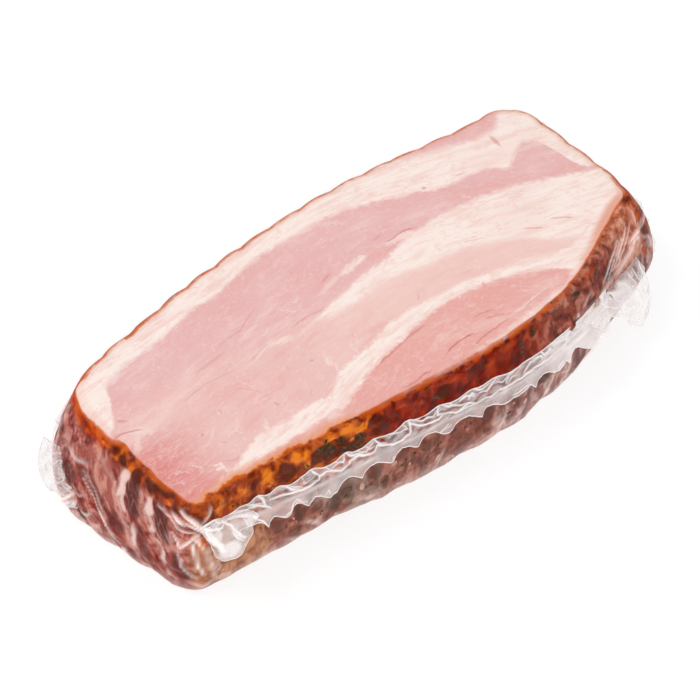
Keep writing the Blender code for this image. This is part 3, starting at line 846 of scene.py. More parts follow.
# Pale patches and streaks in the lean: middle x, y, half length, half width (mm), turn in
# degrees, strength
PALE_PATCHES = [
    (5, 14.6, 7, 1.7, 6, 0.9), (28, 12.6, 9, 1.8, -16, 0.65), (-7, 12.8, 6, 1.2, 12, 0.45),
    (-43, -33, 5.5, 3.2, -60, 0.6), (-84, -24.5, 5, 0.9, -58, 0.8), (-62.5, -20.5, 4, 0.8, 62, 0.7),
    (-94, 5.5, 5, 1.6, -35, 0.5), (-98, 2, 3, 1.4, 70, 0.4), (-86, 30, 5, 1.4, 35, 0.5),
    (-29, -14, 6, 0.7, 82, 0.55), (-19.5, -15, 4.5, 0.6, 75, 0.5), (-15, -17.5, 3, 0.8, -40, 0.5),
    (-36, 4.5, 5, 1.6, -25, 0.55), (-42, 6, 6, 0.8, 20, 0.4), (-25, 3.0, 8, 0.9, 12, 0.4),
    (-24, 13.5, 5, 0.7, -52, 0.35), (-90, -18, 3.5, 0.6, -70, 0.5), (-95, -17, 3, 0.6, -55, 0.45),
    (-69, -13, 4, 0.5, 50, 0.5), (-72, -15, 3, 0.5, -40, 0.4), (-78, -11, 2.4, 0.5, 35, 0.35),
    (-100, 20, 8, 3, 60, 0.5), (-10, 2.5, 10, 1.5, 10, 0.4), (14, -42.6, 5, 0.8, -12, 0.6),
    (40, -37.5, 10, 0.8, 3, 0.5), (44, 32, 14, 3.0, -32, 0.3), (73, 4, 3, 1.2, 28, 0.5),
    (83, 15.5, 4, 0.6, 32, 0.6), (-57, -3, 6, 0.4, -62, 0.35), (12, 34, 6, 1, -35, 0.3),
]
# Thin splits in the cut face: points in mm, half width in mm, strength
SPLITS = [
    ([(-20, -36.6), (-14, -38), (-9, -37.6), (-4, -38.6)], 0.30, 0.75),
    ([(0.5, -36.6), (5, -35.4), (10, -34.9), (14, -35.4), (18, -37.8)], 0.32, 0.8),
    ([(9, -39.8), (14, -39.2), (19, -38.8), (26, -38.4), (33, -39.4)], 0.26, 0.6),
    ([(19, -30.6), (24, -31), (30, -33.4)], 0.26, 0.55),
    ([(22, -33.8), (26, -34.6), (31, -37.2)], 0.26, 0.55),
    ([(34, -38.6), (42, -37.8), (52, -37.4)], 0.26, 0.5),
    ([(-23, -27.4), (-18, -24.9), (-11, -23.8), (-2, -22.2), (4, -21.9), (10, -20.7)], 0.30, 0.6),
    ([(19, 16.8), (23, 15), (27, 15.2), (31, 14.6), (35, 12.2)], 0.32, 0.7),
    ([(-9, 15.6), (-6, 16.2), (-3, 17)], 0.42, 0.45),
    ([(40, -2), (45, -4.2), (50, -6.6)], 0.26, 0.4),
    ([(61, -11), (64, -13.4), (68, -16.6)], 0.34, 0.65),
    ([(71, -14), (75, -16.6), (79.5, -20.2)], 0.40, 0.6),
    ([(74, -28.2), (79, -26.2), (84, -27), (88, -29.6)], 0.24, 0.35),
    ([(96.5, -28), (93, -31.4), (86, -34.6)], 0.45, 0.85),
    ([(-106, 6.6), (-102, 8.6), (-98.6, 7.9), (-95, 6.2), (-92, 3.6)], 0.34, 0.75),
    ([(-50, 4), (-45, 5.6), (-38, 7)], 0.26, 0.35),
    ([(-57, 15), (-50, 17.2), (-43, 17.6), (-36, 20.6), (-30, 23)], 0.26, 0.35),
    ([(-80, 4.6), (-72, 6.4), (-62, 6.2), (-52, 4.2)], 0.24, 0.3),
    ([(-32, 6), (-26, 7.2), (-20, 6.8), (-12, 6.2)], 0.26, 0.35),
    ([(-83, -20.5), (-79, -24), (-76, -23.6)], 0.24, 0.4),
    ([(-61, -1), (-57, -4.6), (-54.6, -8.4)], 0.24, 0.3),
]
# Small dark marks: x, y, half length, half width, turn, strength
MARKS = [
    (48.4, 25.8, 1.0, 0.6, -30, 0.75), (83.8, 26.2, 3.6, 0.9, 84, 0.6), (63, 22.2, 2.6, 0.45, -12, 0.4),
    (-54, -15, 1.0, 0.35, -75, 0.6), (-80.5, -9, 0.9, 0.4, 35, 0.45), (-70, -5.5, 1.2, 0.4, 80, 0.35),
    (-77, -16, 0.9, 0.3, -50, 0.4), (12.5, -11, 1.6, 0.3, 55, 0.4), (-33.5, -8.6, 0.9, 0.6, -30, 0.35),
    (-16, -9.4, 1.0, 0.4, 60, 0.3), (-97, 12.6, 2.0, 0.5, -40, 0.5), (-42.6, -19, 1.4, 0.3, 40, 0.35),
    (-60, 13, 7, 0.9, 4, 0.3), (-25, 7.2, 3.0, 0.6, 4, 0.35), (20, 19, 2.4, 0.4, 8, 0.3),
    (-13, 25.8, 1.4, 0.3, 12, 0.3), (-14, 22.0, 2.4, 0.3, 35, 0.3),
]
# How the muscle runs: height of one strand along the block
GRAIN = [(-112, -2), (-80, 0), (-40, 4), (0, 8), (22, 7), (50, 0), (80, -9), (112, -19)]
# How far the crust reaches in over the cut face, by distance round
CRUST_EDGE = [(-90, -0.5), (-70, -0.2), (-62, -1.4), (-50, -1.0), (-40, -0.6), (-34, 0.2), (-14, 0.5),
              (-4, 0.8), (4, 1.2), (14, 1.8), (28, 1.4), (40, 1.2), (50, 0.8), (60, 1.2), (68, 0.4),
              (84, 0.0), (110, -0.2), (138, 0.1), (156, 0.6), (176, 1.4), (192, 2.0), (206, 0.8),
              (216, -0.2), (262, -0.3), (330, -0.3), (400, -0.2), (452, -0.1)]

LEAN_BACK = colour(234, 185, 184)
LEAN_MIDDLE = colour(242, 203, 195)
LEAN_FRONT = colour(234, 170, 163)
LEAN_LEFT = colour(221, 128, 124)
FAT = colour(253, 238, 230)
FAT_SHADE = colour(246, 217, 208)
SMOKE_TINT = colour(230, 160, 134)
SPLIT = colour(200, 90, 86)


def ellipse(nodes, x, y, spot):
    """A soft spot on the cut face."""
    at_x, at_y, long_half, short_half, turn, strength = spot
    turned, across = math.cos(math.radians(turn)), math.sin(math.radians(turn))
    dx, dy = nodes.maths("SUBTRACT", x, at_x), nodes.maths("SUBTRACT", y, at_y)
    along = nodes.maths("MULTIPLY_ADD", dx, turned / long_half, nodes.maths(
        "MULTIPLY", dy, across / long_half))
    aside = nodes.maths("MULTIPLY_ADD", dx, -across / short_half, nodes.maths(
        "MULTIPLY", dy, turned / short_half))
    reach = nodes.maths("ADD", nodes.product(along, along), nodes.product(aside, aside))
    return nodes.ease(reach, 1.5, 0.1, 0.0, strength)


def split_line(nodes, x, y, points, half_width, strength):
    """A thin line with tapering ends."""
    middle = nodes.curve(x, points, -55.0, 55.0)
    apart = nodes.maths("ABSOLUTE", nodes.maths("SUBTRACT", y, middle))
    start, end = sorted((points[0][0], points[-1][0]))
    taper = 0.25 * (end - start)
    ends = nodes.product(nodes.ease(x, start, start + taper), nodes.ease(x, end, end - taper))
    width = nodes.maths("MULTIPLY_ADD", ends, half_width, 0.02)
    return nodes.product(nodes.ease(nodes.maths("DIVIDE", apart, width), 1.8, 0.2), ends, strength)


def cut_face(nodes, place):
    """Colour of the marbled cut face, and how deep its splits are."""
    x, y, _ = nodes.split(place)
    strand = nodes.maths("SUBTRACT", y, nodes.curve(x, GRAIN, -55.0, 55.0))
    broad = nodes.noise(nodes.vector(nodes.maths("MULTIPLY", x, 0.45), strand), 0.055, 3.0, 0.55)
    streak = nodes.noise(nodes.vector(nodes.maths("MULTIPLY", x, 0.16), strand, 3.0), 0.42, 4.0, 0.6, 0.4)
    fibre = nodes.noise(nodes.vector(nodes.maths("MULTIPLY", x, 0.3), strand, 8.0), 1.5, 3.0, 0.6, 0.3)
    ragged = nodes.noise(nodes.vector(x, strand, 5.0), 0.30, 4.0, 0.6, 0.8)
    shift = nodes.maths("MULTIPLY_ADD", broad, 5.0, -2.5)
    shift = nodes.maths("ADD", shift, nodes.maths("MULTIPLY_ADD", ragged, 7.6, -3.8))
    shift = nodes.maths("ADD", shift, nodes.maths("MULTIPLY_ADD", fibre, 2.8, -1.4))
    warped = nodes.maths("ADD", y, nodes.maths("MULTIPLY", shift, 0.55))
    # the lean, from the back to the front
    middle = nodes.ease(nodes.maths("SUBTRACT", warped, nodes.curve(
        x, [(-112, 16), (-60, 12), (-20, 6), (20, 6), (60, 0), (112, -16)], -55.0, 55.0)), 6.0, -6.0)
    middle = nodes.product(middle, nodes.ease(x, -50.0, 4.0, 0.45, 1.0))
    lean = nodes.mix(middle, LEAN_BACK, LEAN_MIDDLE)
    low = nodes.curve(x, [(-112, -22), (-60, -26), (-20, -21), (20, -17), (60, -30), (112, -40)], -55.0, 55.0)
    front = nodes.ease(nodes.maths("SUBTRACT", warped, low), 3.0, -5.0)
    lean = nodes.mix(nodes.product(front, 0.9), lean, LEAN_FRONT)
    left = nodes.product(nodes.ease(x, -74.0, -101.0), nodes.ease(warped, 8.0, -8.0))
    lean = nodes.mix(nodes.product(left, 0.85), lean, LEAN_LEFT)
    pale = nodes.product(nodes.ease(broad, 0.46, 0.62), nodes.ease(streak, 0.42, 0.62))
    pale = nodes.product(pale, nodes.maths("MULTIPLY_ADD", left, -0.36, 0.50))
    lean = nodes.mix(pale, lean, FAT_SHADE)
    deep = nodes.product(nodes.ease(broad, 0.52, 0.38), nodes.ease(streak, 0.60, 0.40))
    lean = nodes.mix(nodes.product(deep, 0.46), lean, LEAN_FRONT)
    lean = nodes.mix(nodes.ease(fibre, 0.50, 0.72, 0.0, 0.30), lean, FAT_SHADE)
    # the fat
    fat = None
    for lower, upper, soft_low, soft_high in FAT_LAYERS.values():
        over = nodes.ease(nodes.maths("SUBTRACT", warped, nodes.curve(x, lower, -55.0, 65.0)),
                          -soft_low, soft_low)
        under = nodes.ease(nodes.maths("SUBTRACT", warped, nodes.curve(x, upper, -55.0, 65.0)),
                           soft_high, -soft_high)
        ends = nodes.product(nodes.ease(x, lower[0][0] - 0.1, lower[0][0] + 9.0),
                             1.0) if lower[0][0] > -100 else 1.0
        layer = nodes.product(over, under, ends)
        fat = layer if fat is None else nodes.most(fat, layer)
    patches = None
    for spot in PALE_PATCHES:
        made = ellipse(nodes, nodes.maths("ADD", x, shift), warped, spot)
        patches = made if patches is None else nodes.most(patches, made)
    veins = nodes.noise(nodes.vector(nodes.maths("MULTIPLY", x, 0.7), strand, 20.0), 0.15, 2.0, 0.5, 0.7)
    vein = nodes.ease(nodes.maths("ABSOLUTE", nodes.maths("SUBTRACT", veins, 0.5)), 0.016, 0.0)
    vein = nodes.product(vein, nodes.ease(ragged, 0.46, 0.60), 0.4)
    fat = nodes.most(fat, patches, vein)
    wisps = nodes.noise(nodes.vector(nodes.maths("MULTIPLY", x, 0.34), strand, 30.0), 0.20, 4.0, 0.62, 0.9)
    wisp = nodes.ease(nodes.maths("ABSOLUTE", nodes.maths("SUBTRACT", wisps, 0.5)), 0.040, 0.0)
    wisp = nodes.product(wisp, nodes.ease(ragged, 0.40, 0.58))
    tone = nodes.mix(nodes.ease(streak, 0.44, 0.70), FAT, FAT_SHADE)
    tone = nodes.mix(nodes.product(nodes.ease(x, 36.0, 70.0), nodes.ease(broad, 0.46, 0.62), 0.4), tone, FAT_SHADE)
    tone = nodes.mix(nodes.product(wisp, 0.55), tone, colour(240, 200, 190))
    lean = nodes.mix(nodes.product(wisp, 0.34), lean, FAT_SHADE)
    face = nodes.mix(nodes.product(fat, 0.95), lean, tone)
    # splits and small marks
    cut = None
    for points, half_width, strength in SPLITS:
        points = sorted(points)
        made = split_line(nodes, x, nodes.maths("ADD", y, nodes.maths("MULTIPLY_ADD", ragged, 1.6, -0.8)),
                          points, half_width, strength)
        cut = made if cut is None else nodes.most(cut, made)
    marks = None
    for spot in MARKS:
        made = ellipse(nodes, x, y, spot)
        marks = made if marks is None else nodes.most(marks, made)
    face = nodes.mix(nodes.product(nodes.most(cut, marks), 0.70), face, SPLIT)
    return face, cut, fat, streak, fibre


# The crust's plain, dark and light colours, zone by zone
GOLD = (colour(156, 60, 14), colour(100, 30, 8), colour(212, 104, 28))
RUST = (colour(134, 27, 2), colour(84, 12, 0), colour(170, 50, 10))
SMOKE = (colour(146, 64, 46), colour(86, 30, 18), colour(192, 128, 108))
CORNER = (colour(198, 116, 86), colour(144, 64, 34), colour(232, 178, 156))
TAN_LOW = (colour(164, 102, 72), colour(116, 66, 46), colour(202, 146, 106))
BROWN_LOW = (colour(140, 78, 64), colour(96, 52, 42), colour(178, 116, 98))
GREY_LOW = (colour(146, 112, 98), colour(102, 74, 62), colour(178, 146, 132))
MAUVE_LOW = (colour(150, 98, 90), colour(100, 60, 56), colour(202, 160, 154))
END_LOW = (colour(156, 67, 57), colour(102, 29, 25), colour(212, 144, 132))
END_RIM = (colour(182, 56, 0), colour(140, 30, 0), colour(212, 88, 8))
END_DARK = (colour(142, 46, 14), colour(84, 18, 4), colour(206, 104, 40))
RIND = (colour(152, 80, 54), colour(106, 48, 30), colour(192, 130, 104))
RIND_RIM = (colour(178, 86, 36), colour(122, 48, 16), colour(216, 132, 66))
FOOT_HAZE = (colour(188, 140, 132), colour(142, 96, 90), colour(220, 186, 180))


def blend_tones(nodes, share, one, two):
    """Mixes two sets of plain, dark and light colours."""
    return tuple(nodes.mix(share, before, after) for before, after in zip(one, two))


def zone_tones(nodes, distance, height, blotch):
    """The crust's colours by the distance round and the height, which has an uneven border."""
    upper = blend_tones(nodes, nodes.ease(distance, 62.0, 78.0), GOLD, RUST)
    upper = blend_tones(nodes, nodes.ease(distance, 128.0, 152.0), upper, SMOKE)
    upper = blend_tones(nodes, nodes.ease(distance, 178.0, 198.0), upper, CORNER)
    upper = blend_tones(nodes, nodes.ease(distance, 203.0, 208.0), upper, END_DARK)
    lower = blend_tones(nodes, nodes.ease(distance, 22.0, 32.0), TAN_LOW, BROWN_LOW)
    grey = nodes.product(nodes.ease(distance, 38.0, 48.0), nodes.ease(distance, 84.0, 66.0),
                         nodes.ease(blotch, 0.42, 0.54))
    lower = blend_tones(nodes, grey, lower, GREY_LOW)
    lower = blend_tones(nodes, nodes.ease(distance, 112.0, 126.0), lower, MAUVE_LOW)
    lower = blend_tones(nodes, nodes.ease(height, 9.0, 1.0, 0.0, 0.50), lower, FOOT_HAZE)
    front = blend_tones(nodes, nodes.ease(height, 24.0, 31.0), lower, upper)
    end = blend_tones(nodes, nodes.ease(height, 9.0, 0.0, 0.0, 0.55), END_LOW, FOOT_HAZE)
    rim = blend_tones(nodes, nodes.ease(distance, -42.0, -37.0), END_RIM, END_DARK)
    end = blend_tones(nodes, nodes.ease(height, 38.4, 40.6), end, rim)
    side = blend_tones(nodes, nodes.ease(distance, 1.2, -1.6), front, end)
    rind = blend_tones(nodes, nodes.ease(height, 10.0, 1.0, 0.0, 0.50), RIND, FOOT_HAZE)
    rind = blend_tones(nodes, nodes.ease(height, 35.0, 40.0), rind, RIND_RIM)
    plain = nodes.most(nodes.ease(distance, 211.0, 226.0), nodes.ease(distance, -66.0, -80.0))
    return blend_tones(nodes, plain, side, rind)


def smoked_side(nodes, place, distance, rise):
    """Colour of the smoked crust down the sides: amber and dark red-brown above, paler below."""
    x, y, z = nodes.split(place)
    blotch = nodes.noise(place, 0.10, 3.0, 0.6, 0.5)
    small = nodes.noise(place, 0.26, 4.0, 0.58, 0.5)
    grit = nodes.noise(place, 1.5, 2.0, 0.6)
    slant = nodes.product(nodes.ease(distance, 2.0, -6.0), z, END_SLANT)
    drawn = nodes.vector(x, nodes.maths("SUBTRACT", y, slant), nodes.maths("MULTIPLY", z, 0.36))
    streak = nodes.noise(drawn, 0.26, 2.0, 0.6, 0.5)
    fine = nodes.noise(drawn, 0.85, 3.0, 0.6, 0.4)
    shake = nodes.maths("ADD", nodes.maths("MULTIPLY_ADD", small, 1.3, -0.65),
                        nodes.maths("MULTIPLY_ADD", grit, 0.30, -0.15))
    height = nodes.maths("ADD", rise, nodes.maths("MULTIPLY_ADD", small, 6.0, -3.0))
    plain, dark, light = zone_tones(nodes, distance, height, blotch)

    def spots(name, low=0.10, high=0.86):
        mask = nodes.mask(name)
        shaken = nodes.product(shake, nodes.ease(mask, 0.02, 0.30))
        return nodes.ease(nodes.maths("ADD", mask, shaken), low, high)

    tone = nodes.maths("ADD", nodes.product(streak, 0.45), nodes.maths("ADD", nodes.product(
        small, 0.55), nodes.maths("MULTIPLY_ADD", fine, 0.16, -0.08)))
    side = nodes.mix(nodes.ease(tone, 0.49, 0.60, 0.0, 0.80), plain, light)
    side = nodes.mix(nodes.ease(tone, 0.50, 0.40, 0.0, 0.85), side, dark)
    tan = nodes.mix(nodes.ease(distance, 1.0, -3.0), colour(202, 142, 112), colour(208, 144, 126))
    tan = nodes.mix(nodes.ease(streak, 0.56, 0.42, 0.0, 0.75), nodes.mix(0.6, light, tan), plain)
    side = nodes.mix(nodes.product(spots("tan", 0.10, 0.80), 0.88), side, tan)
    bright = nodes.mix(nodes.ease(small, 0.42, 0.60), colour(200, 84, 10), colour(236, 132, 32))
    bright = nodes.mix(nodes.ease(distance, 68.0, 78.0), bright, colour(184, 70, 14))
    side = nodes.mix(nodes.product(spots("amber"), 0.95), side, bright)
    # Pale spots paint the film's whitish glare and veil into the crust's colour: painted highlight over milky film
    side = nodes.mix(nodes.product(spots("pale", 0.10, 0.85), 0.92), side, colour(222, 188, 178))
    shade = spots("dark")
    dusk = nodes.mix(nodes.ease(rise, 24.0, 33.0), colour(82, 48, 40), colour(72, 14, 2))
    end_dusk = nodes.product(nodes.ease(distance, 1.0, -2.0), nodes.ease(distance, -70.0, -64.0),
                             nodes.ease(rise, 41.0, 36.0))
    dusk = nodes.mix(end_dusk, dusk, colour(86, 34, 32))
    side = nodes.mix(nodes.product(shade, 0.90), side, dusk)
    herb = nodes.mix(nodes.ease(grit, 0.44, 0.62), colour(34, 22, 8), colour(92, 62, 28))
    side = nodes.mix(nodes.product(spots("olive", 0.34, 0.84), nodes.ease(
        rise, 24.0, 34.0, 0.45, 0.90)), side, herb)
    thread = nodes.noise(nodes.vector(x, nodes.maths("SUBTRACT", y, slant), nodes.maths(
        "MULTIPLY", z, 0.14)), 0.15, 2.0, 0.5, 0.3)
    thread = nodes.ease(nodes.maths("ABSOLUTE", nodes.maths("SUBTRACT", thread, 0.5)), 0.030, 0.002)
    thread = nodes.product(thread, nodes.ease(distance, 1.0, -3.0), nodes.ease(rise, 40.0, 36.0))
    side = nodes.mix(nodes.product(thread, 0.20), side, colour(226, 180, 164))
    side = nodes.mix(nodes.ease(grit, 0.54, 0.72, 0.0, 0.16), side, light)
    side = nodes.mix(nodes.ease(grit, 0.46, 0.30, 0.0, 0.16), side, dark)
    return side, small


def meat_material():
    material, nodes = new_material("smoked_bacon")
    place = nodes.millimetres("object")
    distance, rise, _ = nodes.split(nodes.millimetres("map"))
    face, cut, fat, streak, fibre = cut_face(nodes, place)
    wrapped = nodes.maths("SUBTRACT", distance, nodes.product(
        nodes.maths("GREATER_THAN", distance, 449.0), AROUND / MM))
    side, small = smoked_side(nodes, place, wrapped, rise)
    crust = nodes.curve(wrapped, CRUST_EDGE, -6.0, 6.0)
    over = nodes.maths("SUBTRACT", rise, nodes.maths("ADD", crust, 44.0))
    gold = nodes.product(nodes.ease(wrapped, -4.0, 4.0), nodes.ease(wrapped, 74.0, 58.0))
    jagged = nodes.noise(place, 0.20, 4.0, 0.60, 0.6)
    reach = nodes.maths("MULTIPLY_ADD", gold, 4.4, 0.7)
    over = nodes.maths("ADD", over, nodes.product(reach, nodes.maths("SUBTRACT", jagged, 0.5)))
    salmon = nodes.product(nodes.ease(wrapped, 160.0, 198.0), nodes.ease(wrapped, 218.0, 207.0))
    warm = nodes.most(gold, nodes.product(salmon, 1.4))
    stain = nodes.ease(over, nodes.maths("MULTIPLY_ADD", warm, 1.6, 2.4), nodes.product(warm, 1.2))
    face = nodes.mix(nodes.product(stain, nodes.maths("MULTIPLY_ADD", warm, 0.36, 0.36)), face, SMOKE_TINT)
    flame = nodes.product(gold, nodes.ease(over, 1.7, 0.1))
    face = nodes.mix(nodes.product(flame, 0.70), face, colour(236, 150, 76))
    whole = nodes.mix(nodes.ease(over, 0.45, -0.45), face, side)
    edge_line = nodes.product(nodes.ease(over, -1.2, -0.3), nodes.ease(over, 0.4, 0.0),
                              nodes.ease(small, 0.34, 0.50))
    whole = nodes.mix(nodes.product(edge_line, 0.72), whole, colour(208, 92, 16))
    relief = nodes.maths("MULTIPLY_ADD", streak, 0.5, nodes.maths("MULTIPLY", fibre, 0.35))
    relief = nodes.maths("SUBTRACT", relief, nodes.maths("MULTIPLY", cut, 0.4))
    bump = nodes.add("ShaderNodeBump", {"Height": relief, "Strength": 0.35, "Distance": 0.0004})
    shader = nodes.add("ShaderNodeBsdfPrincipled", {
        "Base Color": whole,
        "Roughness": nodes.maths("MULTIPLY_ADD", streak, 0.2, 0.36),
        "Specular IOR Level": 0.03, "Subsurface Weight": 0.06, "Subsurface Scale": 0.0015,
        "Normal": bump.outputs["Normal"]})
    shader.inputs["Subsurface Radius"].default_value = (1.0, 0.45, 0.3)
    finish_material(nodes, shader.outputs[0])
    return material


# ------------------------------------------------------------------ clear film

CRINKLE = crinkle_group()


def film_material(name, veil, veil_colour, crease_veil, roughness, crinkle_size, shine, glow):
    """Clear film: mostly see-through, mirror-like at a slant and milky where it is creased.
    veil is how milky it is all over; the piece's own mask adds milkiness and painted highlight, and glow is a painted
    glow."""
    material, nodes = new_material(name)
    place = nodes.millimetres("object")
    crinkle = use_group(nodes, CRINKLE, {"Place": place, "Size": crinkle_size, "Sharpness": 4.0})
    milk_and_highlight = nodes.mask("milk_and_highlight")
    crease = nodes.product(crinkle["Crease"], crease_veil)
    share = nodes.maths("ADD", nodes.maths("MAXIMUM", milk_and_highlight, crease), veil, clamp=True)
    height = nodes.maths("ADD", crinkle["Swell"], nodes.product(crinkle["Crease"], 0.5))
    bump = nodes.add("ShaderNodeBump", {"Height": height, "Strength": 0.25, "Distance": 0.0006})
    # Painted light: the milky layer glows (Emission) so that its whitish creases stay bright where they face away from
    # the lamps.
    milky = nodes.add("ShaderNodeBsdfPrincipled", {
        "Base Color": veil_colour, "Roughness": roughness, "Normal": bump.outputs["Normal"],
        "Emission Color": (1.0, 0.95, 0.92, 1.0), "Emission Strength": glow})
    mirror = nodes.add("ShaderNodeBsdfPrincipled", {
        "Base Color": (1.0, 1.0, 1.0, 1.0), "Metallic": 1.0, "Roughness": roughness * 0.6,
        "Normal": bump.outputs["Normal"]})
    clear = nodes.add("ShaderNodeBsdfTransparent")
    fresnel = nodes.add("ShaderNodeFresnel", {"IOR": 1.5, "Normal": bump.outputs["Normal"]})
    glossy = nodes.add("ShaderNodeMixShader")
    nodes.tree.links.new(nodes.product(fresnel.outputs[0], shine), glossy.inputs[0])
    nodes.tree.links.new(clear.outputs[0], glossy.inputs[1])
    nodes.tree.links.new(mirror.outputs[0], glossy.inputs[2])
    whole = nodes.add("ShaderNodeMixShader")
    nodes.tree.links.new(share, whole.inputs[0])
    nodes.tree.links.new(glossy.outputs[0], whole.inputs[1])
    nodes.tree.links.new(milky.outputs[0], whole.inputs[2])
    finish_material(nodes, whole.outputs[0])
    return material


# ------------------------------------------------------------------ block and wrap

def flat_relief(x, y):
    """Slow rise and fall of the cut face."""
    return 0.35 * MM * ripple(x, y, 2.2, 34 * MM, 17 * MM)


def wall_places(piece):
    """Share of the way round and rise of each point of a block shell, from its own map."""
    uv = numpy.empty(len(piece.data.loops) * 2)
    piece.data.uv_layers[0].data.foreach_get("uv", uv)
    corners = numpy.empty(len(piece.data.loops), dtype=int)
    piece.data.loops.foreach_get("vertex_index", corners)
    own = numpy.zeros((len(piece.data.vertices), 2))
    own[corners] = uv.reshape(-1, 2)
    return own[:, 0] / AROUND, own[:, 1]


def build_meat():
    def side_out(share, height):
        return fold_relief(share, height) - FILM_GAP

    piece = block_shell("bacon_block", side_out, flat_relief, FILM_GAP)
    share, rise = wall_places(piece)
    height = numpy.minimum(rise, HEIGHT + 1 * MM)
    for name, spots in (("dark", DARK_SPOTS), ("amber", AMBER_SPOTS), ("tan", TAN_SPOTS),
                        ("pale", HAZE_AND_GLARE_SPOTS), ("olive", OLIVE_SPOTS)):
        add_mask(piece, name, spotted(share, height, spots) * (rise < HEIGHT + 4 * MM))
    piece.data.materials.append(meat_material())
    return piece


def build_wrap():
    def side_out(share, height):
        relief = fold_relief(share, height)
        bridged = relief + FILM_BRIDGE * numpy.maximum(0.0, 0.35 * MM - relief)
        fade = ease(height, 0.5 * MM, 4 * MM) * ease(height, HEIGHT, HEIGHT - 2.0 * MM)
        return bridged + crease_relief(share, height) * fade

    piece = block_shell("film_wrap", side_out, flat_relief, 0.0)
    share, rise = wall_places(piece)
    height = numpy.minimum(rise, HEIGHT)
    # The creases' whiteness and the pale spots are painted highlight and glare as well as milky film; towards the foot
    # the film is milkier
    milk_and_highlight = 0.95 * crease_marks(share, height)[1] ** 0.8
    haze_and_glare = 0.30 * spotted(share, height, HAZE_AND_GLARE_SPOTS)
    foot = 0.16 * ease(height, 12 * MM, 1 * MM)
    milk_and_highlight = numpy.max([milk_and_highlight, haze_and_glare, foot], axis=0)
    add_mask(piece, "milk_and_highlight", numpy.where(rise > HEIGHT + 0.5 * MM, 0.0, milk_and_highlight))
    piece.data.materials.append(film_material(
        "clear_wrap", 0.0, colour(255, 228, 218), 0.02, 0.12, 7.0, 0.07, 0.28))
    return piece


# ------------------------------------------------------------------ seams

# A place on a seam or an ear is told by the spot of wall it covers when looked down on from the
# front left: the distance round and height of that spot in mm.  The film itself stands off the
# wall, so it sits LEAN back along the wall and DROP up it for each mm that it stands off.
LEAN = [(-10, 0.5), (70, 0.5), (100, 0.56), (130, 0.75), (150, 0.93), (160, 1.07), (170, 1.38), (205, 1.3)]
DROP = [(-10, 1.4), (20, 1.38), (45, 1.27), (130, 1.27), (150, 1.4), (160, 1.54), (170, 1.78), (205, 1.6)]
NO_LEAN = [(0, 0.0), (600, 0.0)]
PLAIN_DROP = [(0, 1.3), (600, 1.3)]
HANG = 0.43               # how far a seam hangs for each mm that it stands off the wall
SEAM_CELL = 0.33 * MM
SEAM_ROWS = 46
FILM_WALL = 0.10 * MM

FRONT_TOP = [
    (13, 35.4), (18, 35.8), (21, 35), (25, 36), (28, 34.4), (33, 35.4), (36.5, 33.9), (41, 34.6),
    (45, 35.8), (50, 33.8), (54, 33.7), (58, 35.1), (62, 33.5), (65, 33.4), (69.5, 34.4), (75, 33),
    (78, 32.8), (83.5, 34.4), (86, 33.2), (90, 32.6), (96.5, 33.5), (100, 32.5), (103, 32.2),
    (109.5, 33.2), (112, 32.5), (119.5, 32.8), (124, 31.4), (133, 31.6), (138, 31.2), (148, 31.5),
    (155, 31.4), (160, 31.2), (170, 31.0), (176, 30.6)]
FRONT_HEM = [
    (13, 25.6), (17, 25.2), (20, 24.3), (23, 23.7), (25, 22.2), (26.5, 19), (27.6, 21.6), (29.5, 22.8),
    (31, 22), (33, 20.2), (34.5, 19.6), (36, 20.2), (37, 23), (38.5, 23.8), (40, 23), (42.4, 20),
    (43.4, 21.4), (45, 22.8), (47, 22), (49, 20.2), (50.5, 19), (51.6, 20), (53, 20), (54.2, 21.8),
    (56, 23.3), (58, 23.8), (60, 23), (63, 20.1), (64, 22), (66, 23.3), (68.5, 23.6), (71, 22.5),
    (74, 20.2), (75.4, 20), (77, 22.5), (79.5, 23.8), (82, 23), (85, 20.7), (86, 20.6), (87.5, 22.8),
    (90, 23.7), (93, 23), (96, 20.2), (98.5, 19.2), (100, 20), (101.5, 21.7), (104, 22.5), (107, 22.3),
    (110, 20.2), (112.6, 18.6), (113.4, 21), (115, 22), (117.5, 21.5), (120, 19.7), (122, 18.8),
    (126, 19.2), (128, 18.8), (132, 19.5), (133.4, 20.3), (135.5, 17.5), (137, 20), (139.5, 20.8),
    (142, 20), (145, 17.6), (147.5, 16.8), (149, 17.6), (150.4, 18.8), (152.4, 16.2), (153.6, 19.6),
    (155.5, 20.7), (157.5, 19.6), (160, 17), (164, 13.6), (167, 11.6), (169, 12.6), (170.5, 13.4),
    (172.4, 12), (176, 8)]
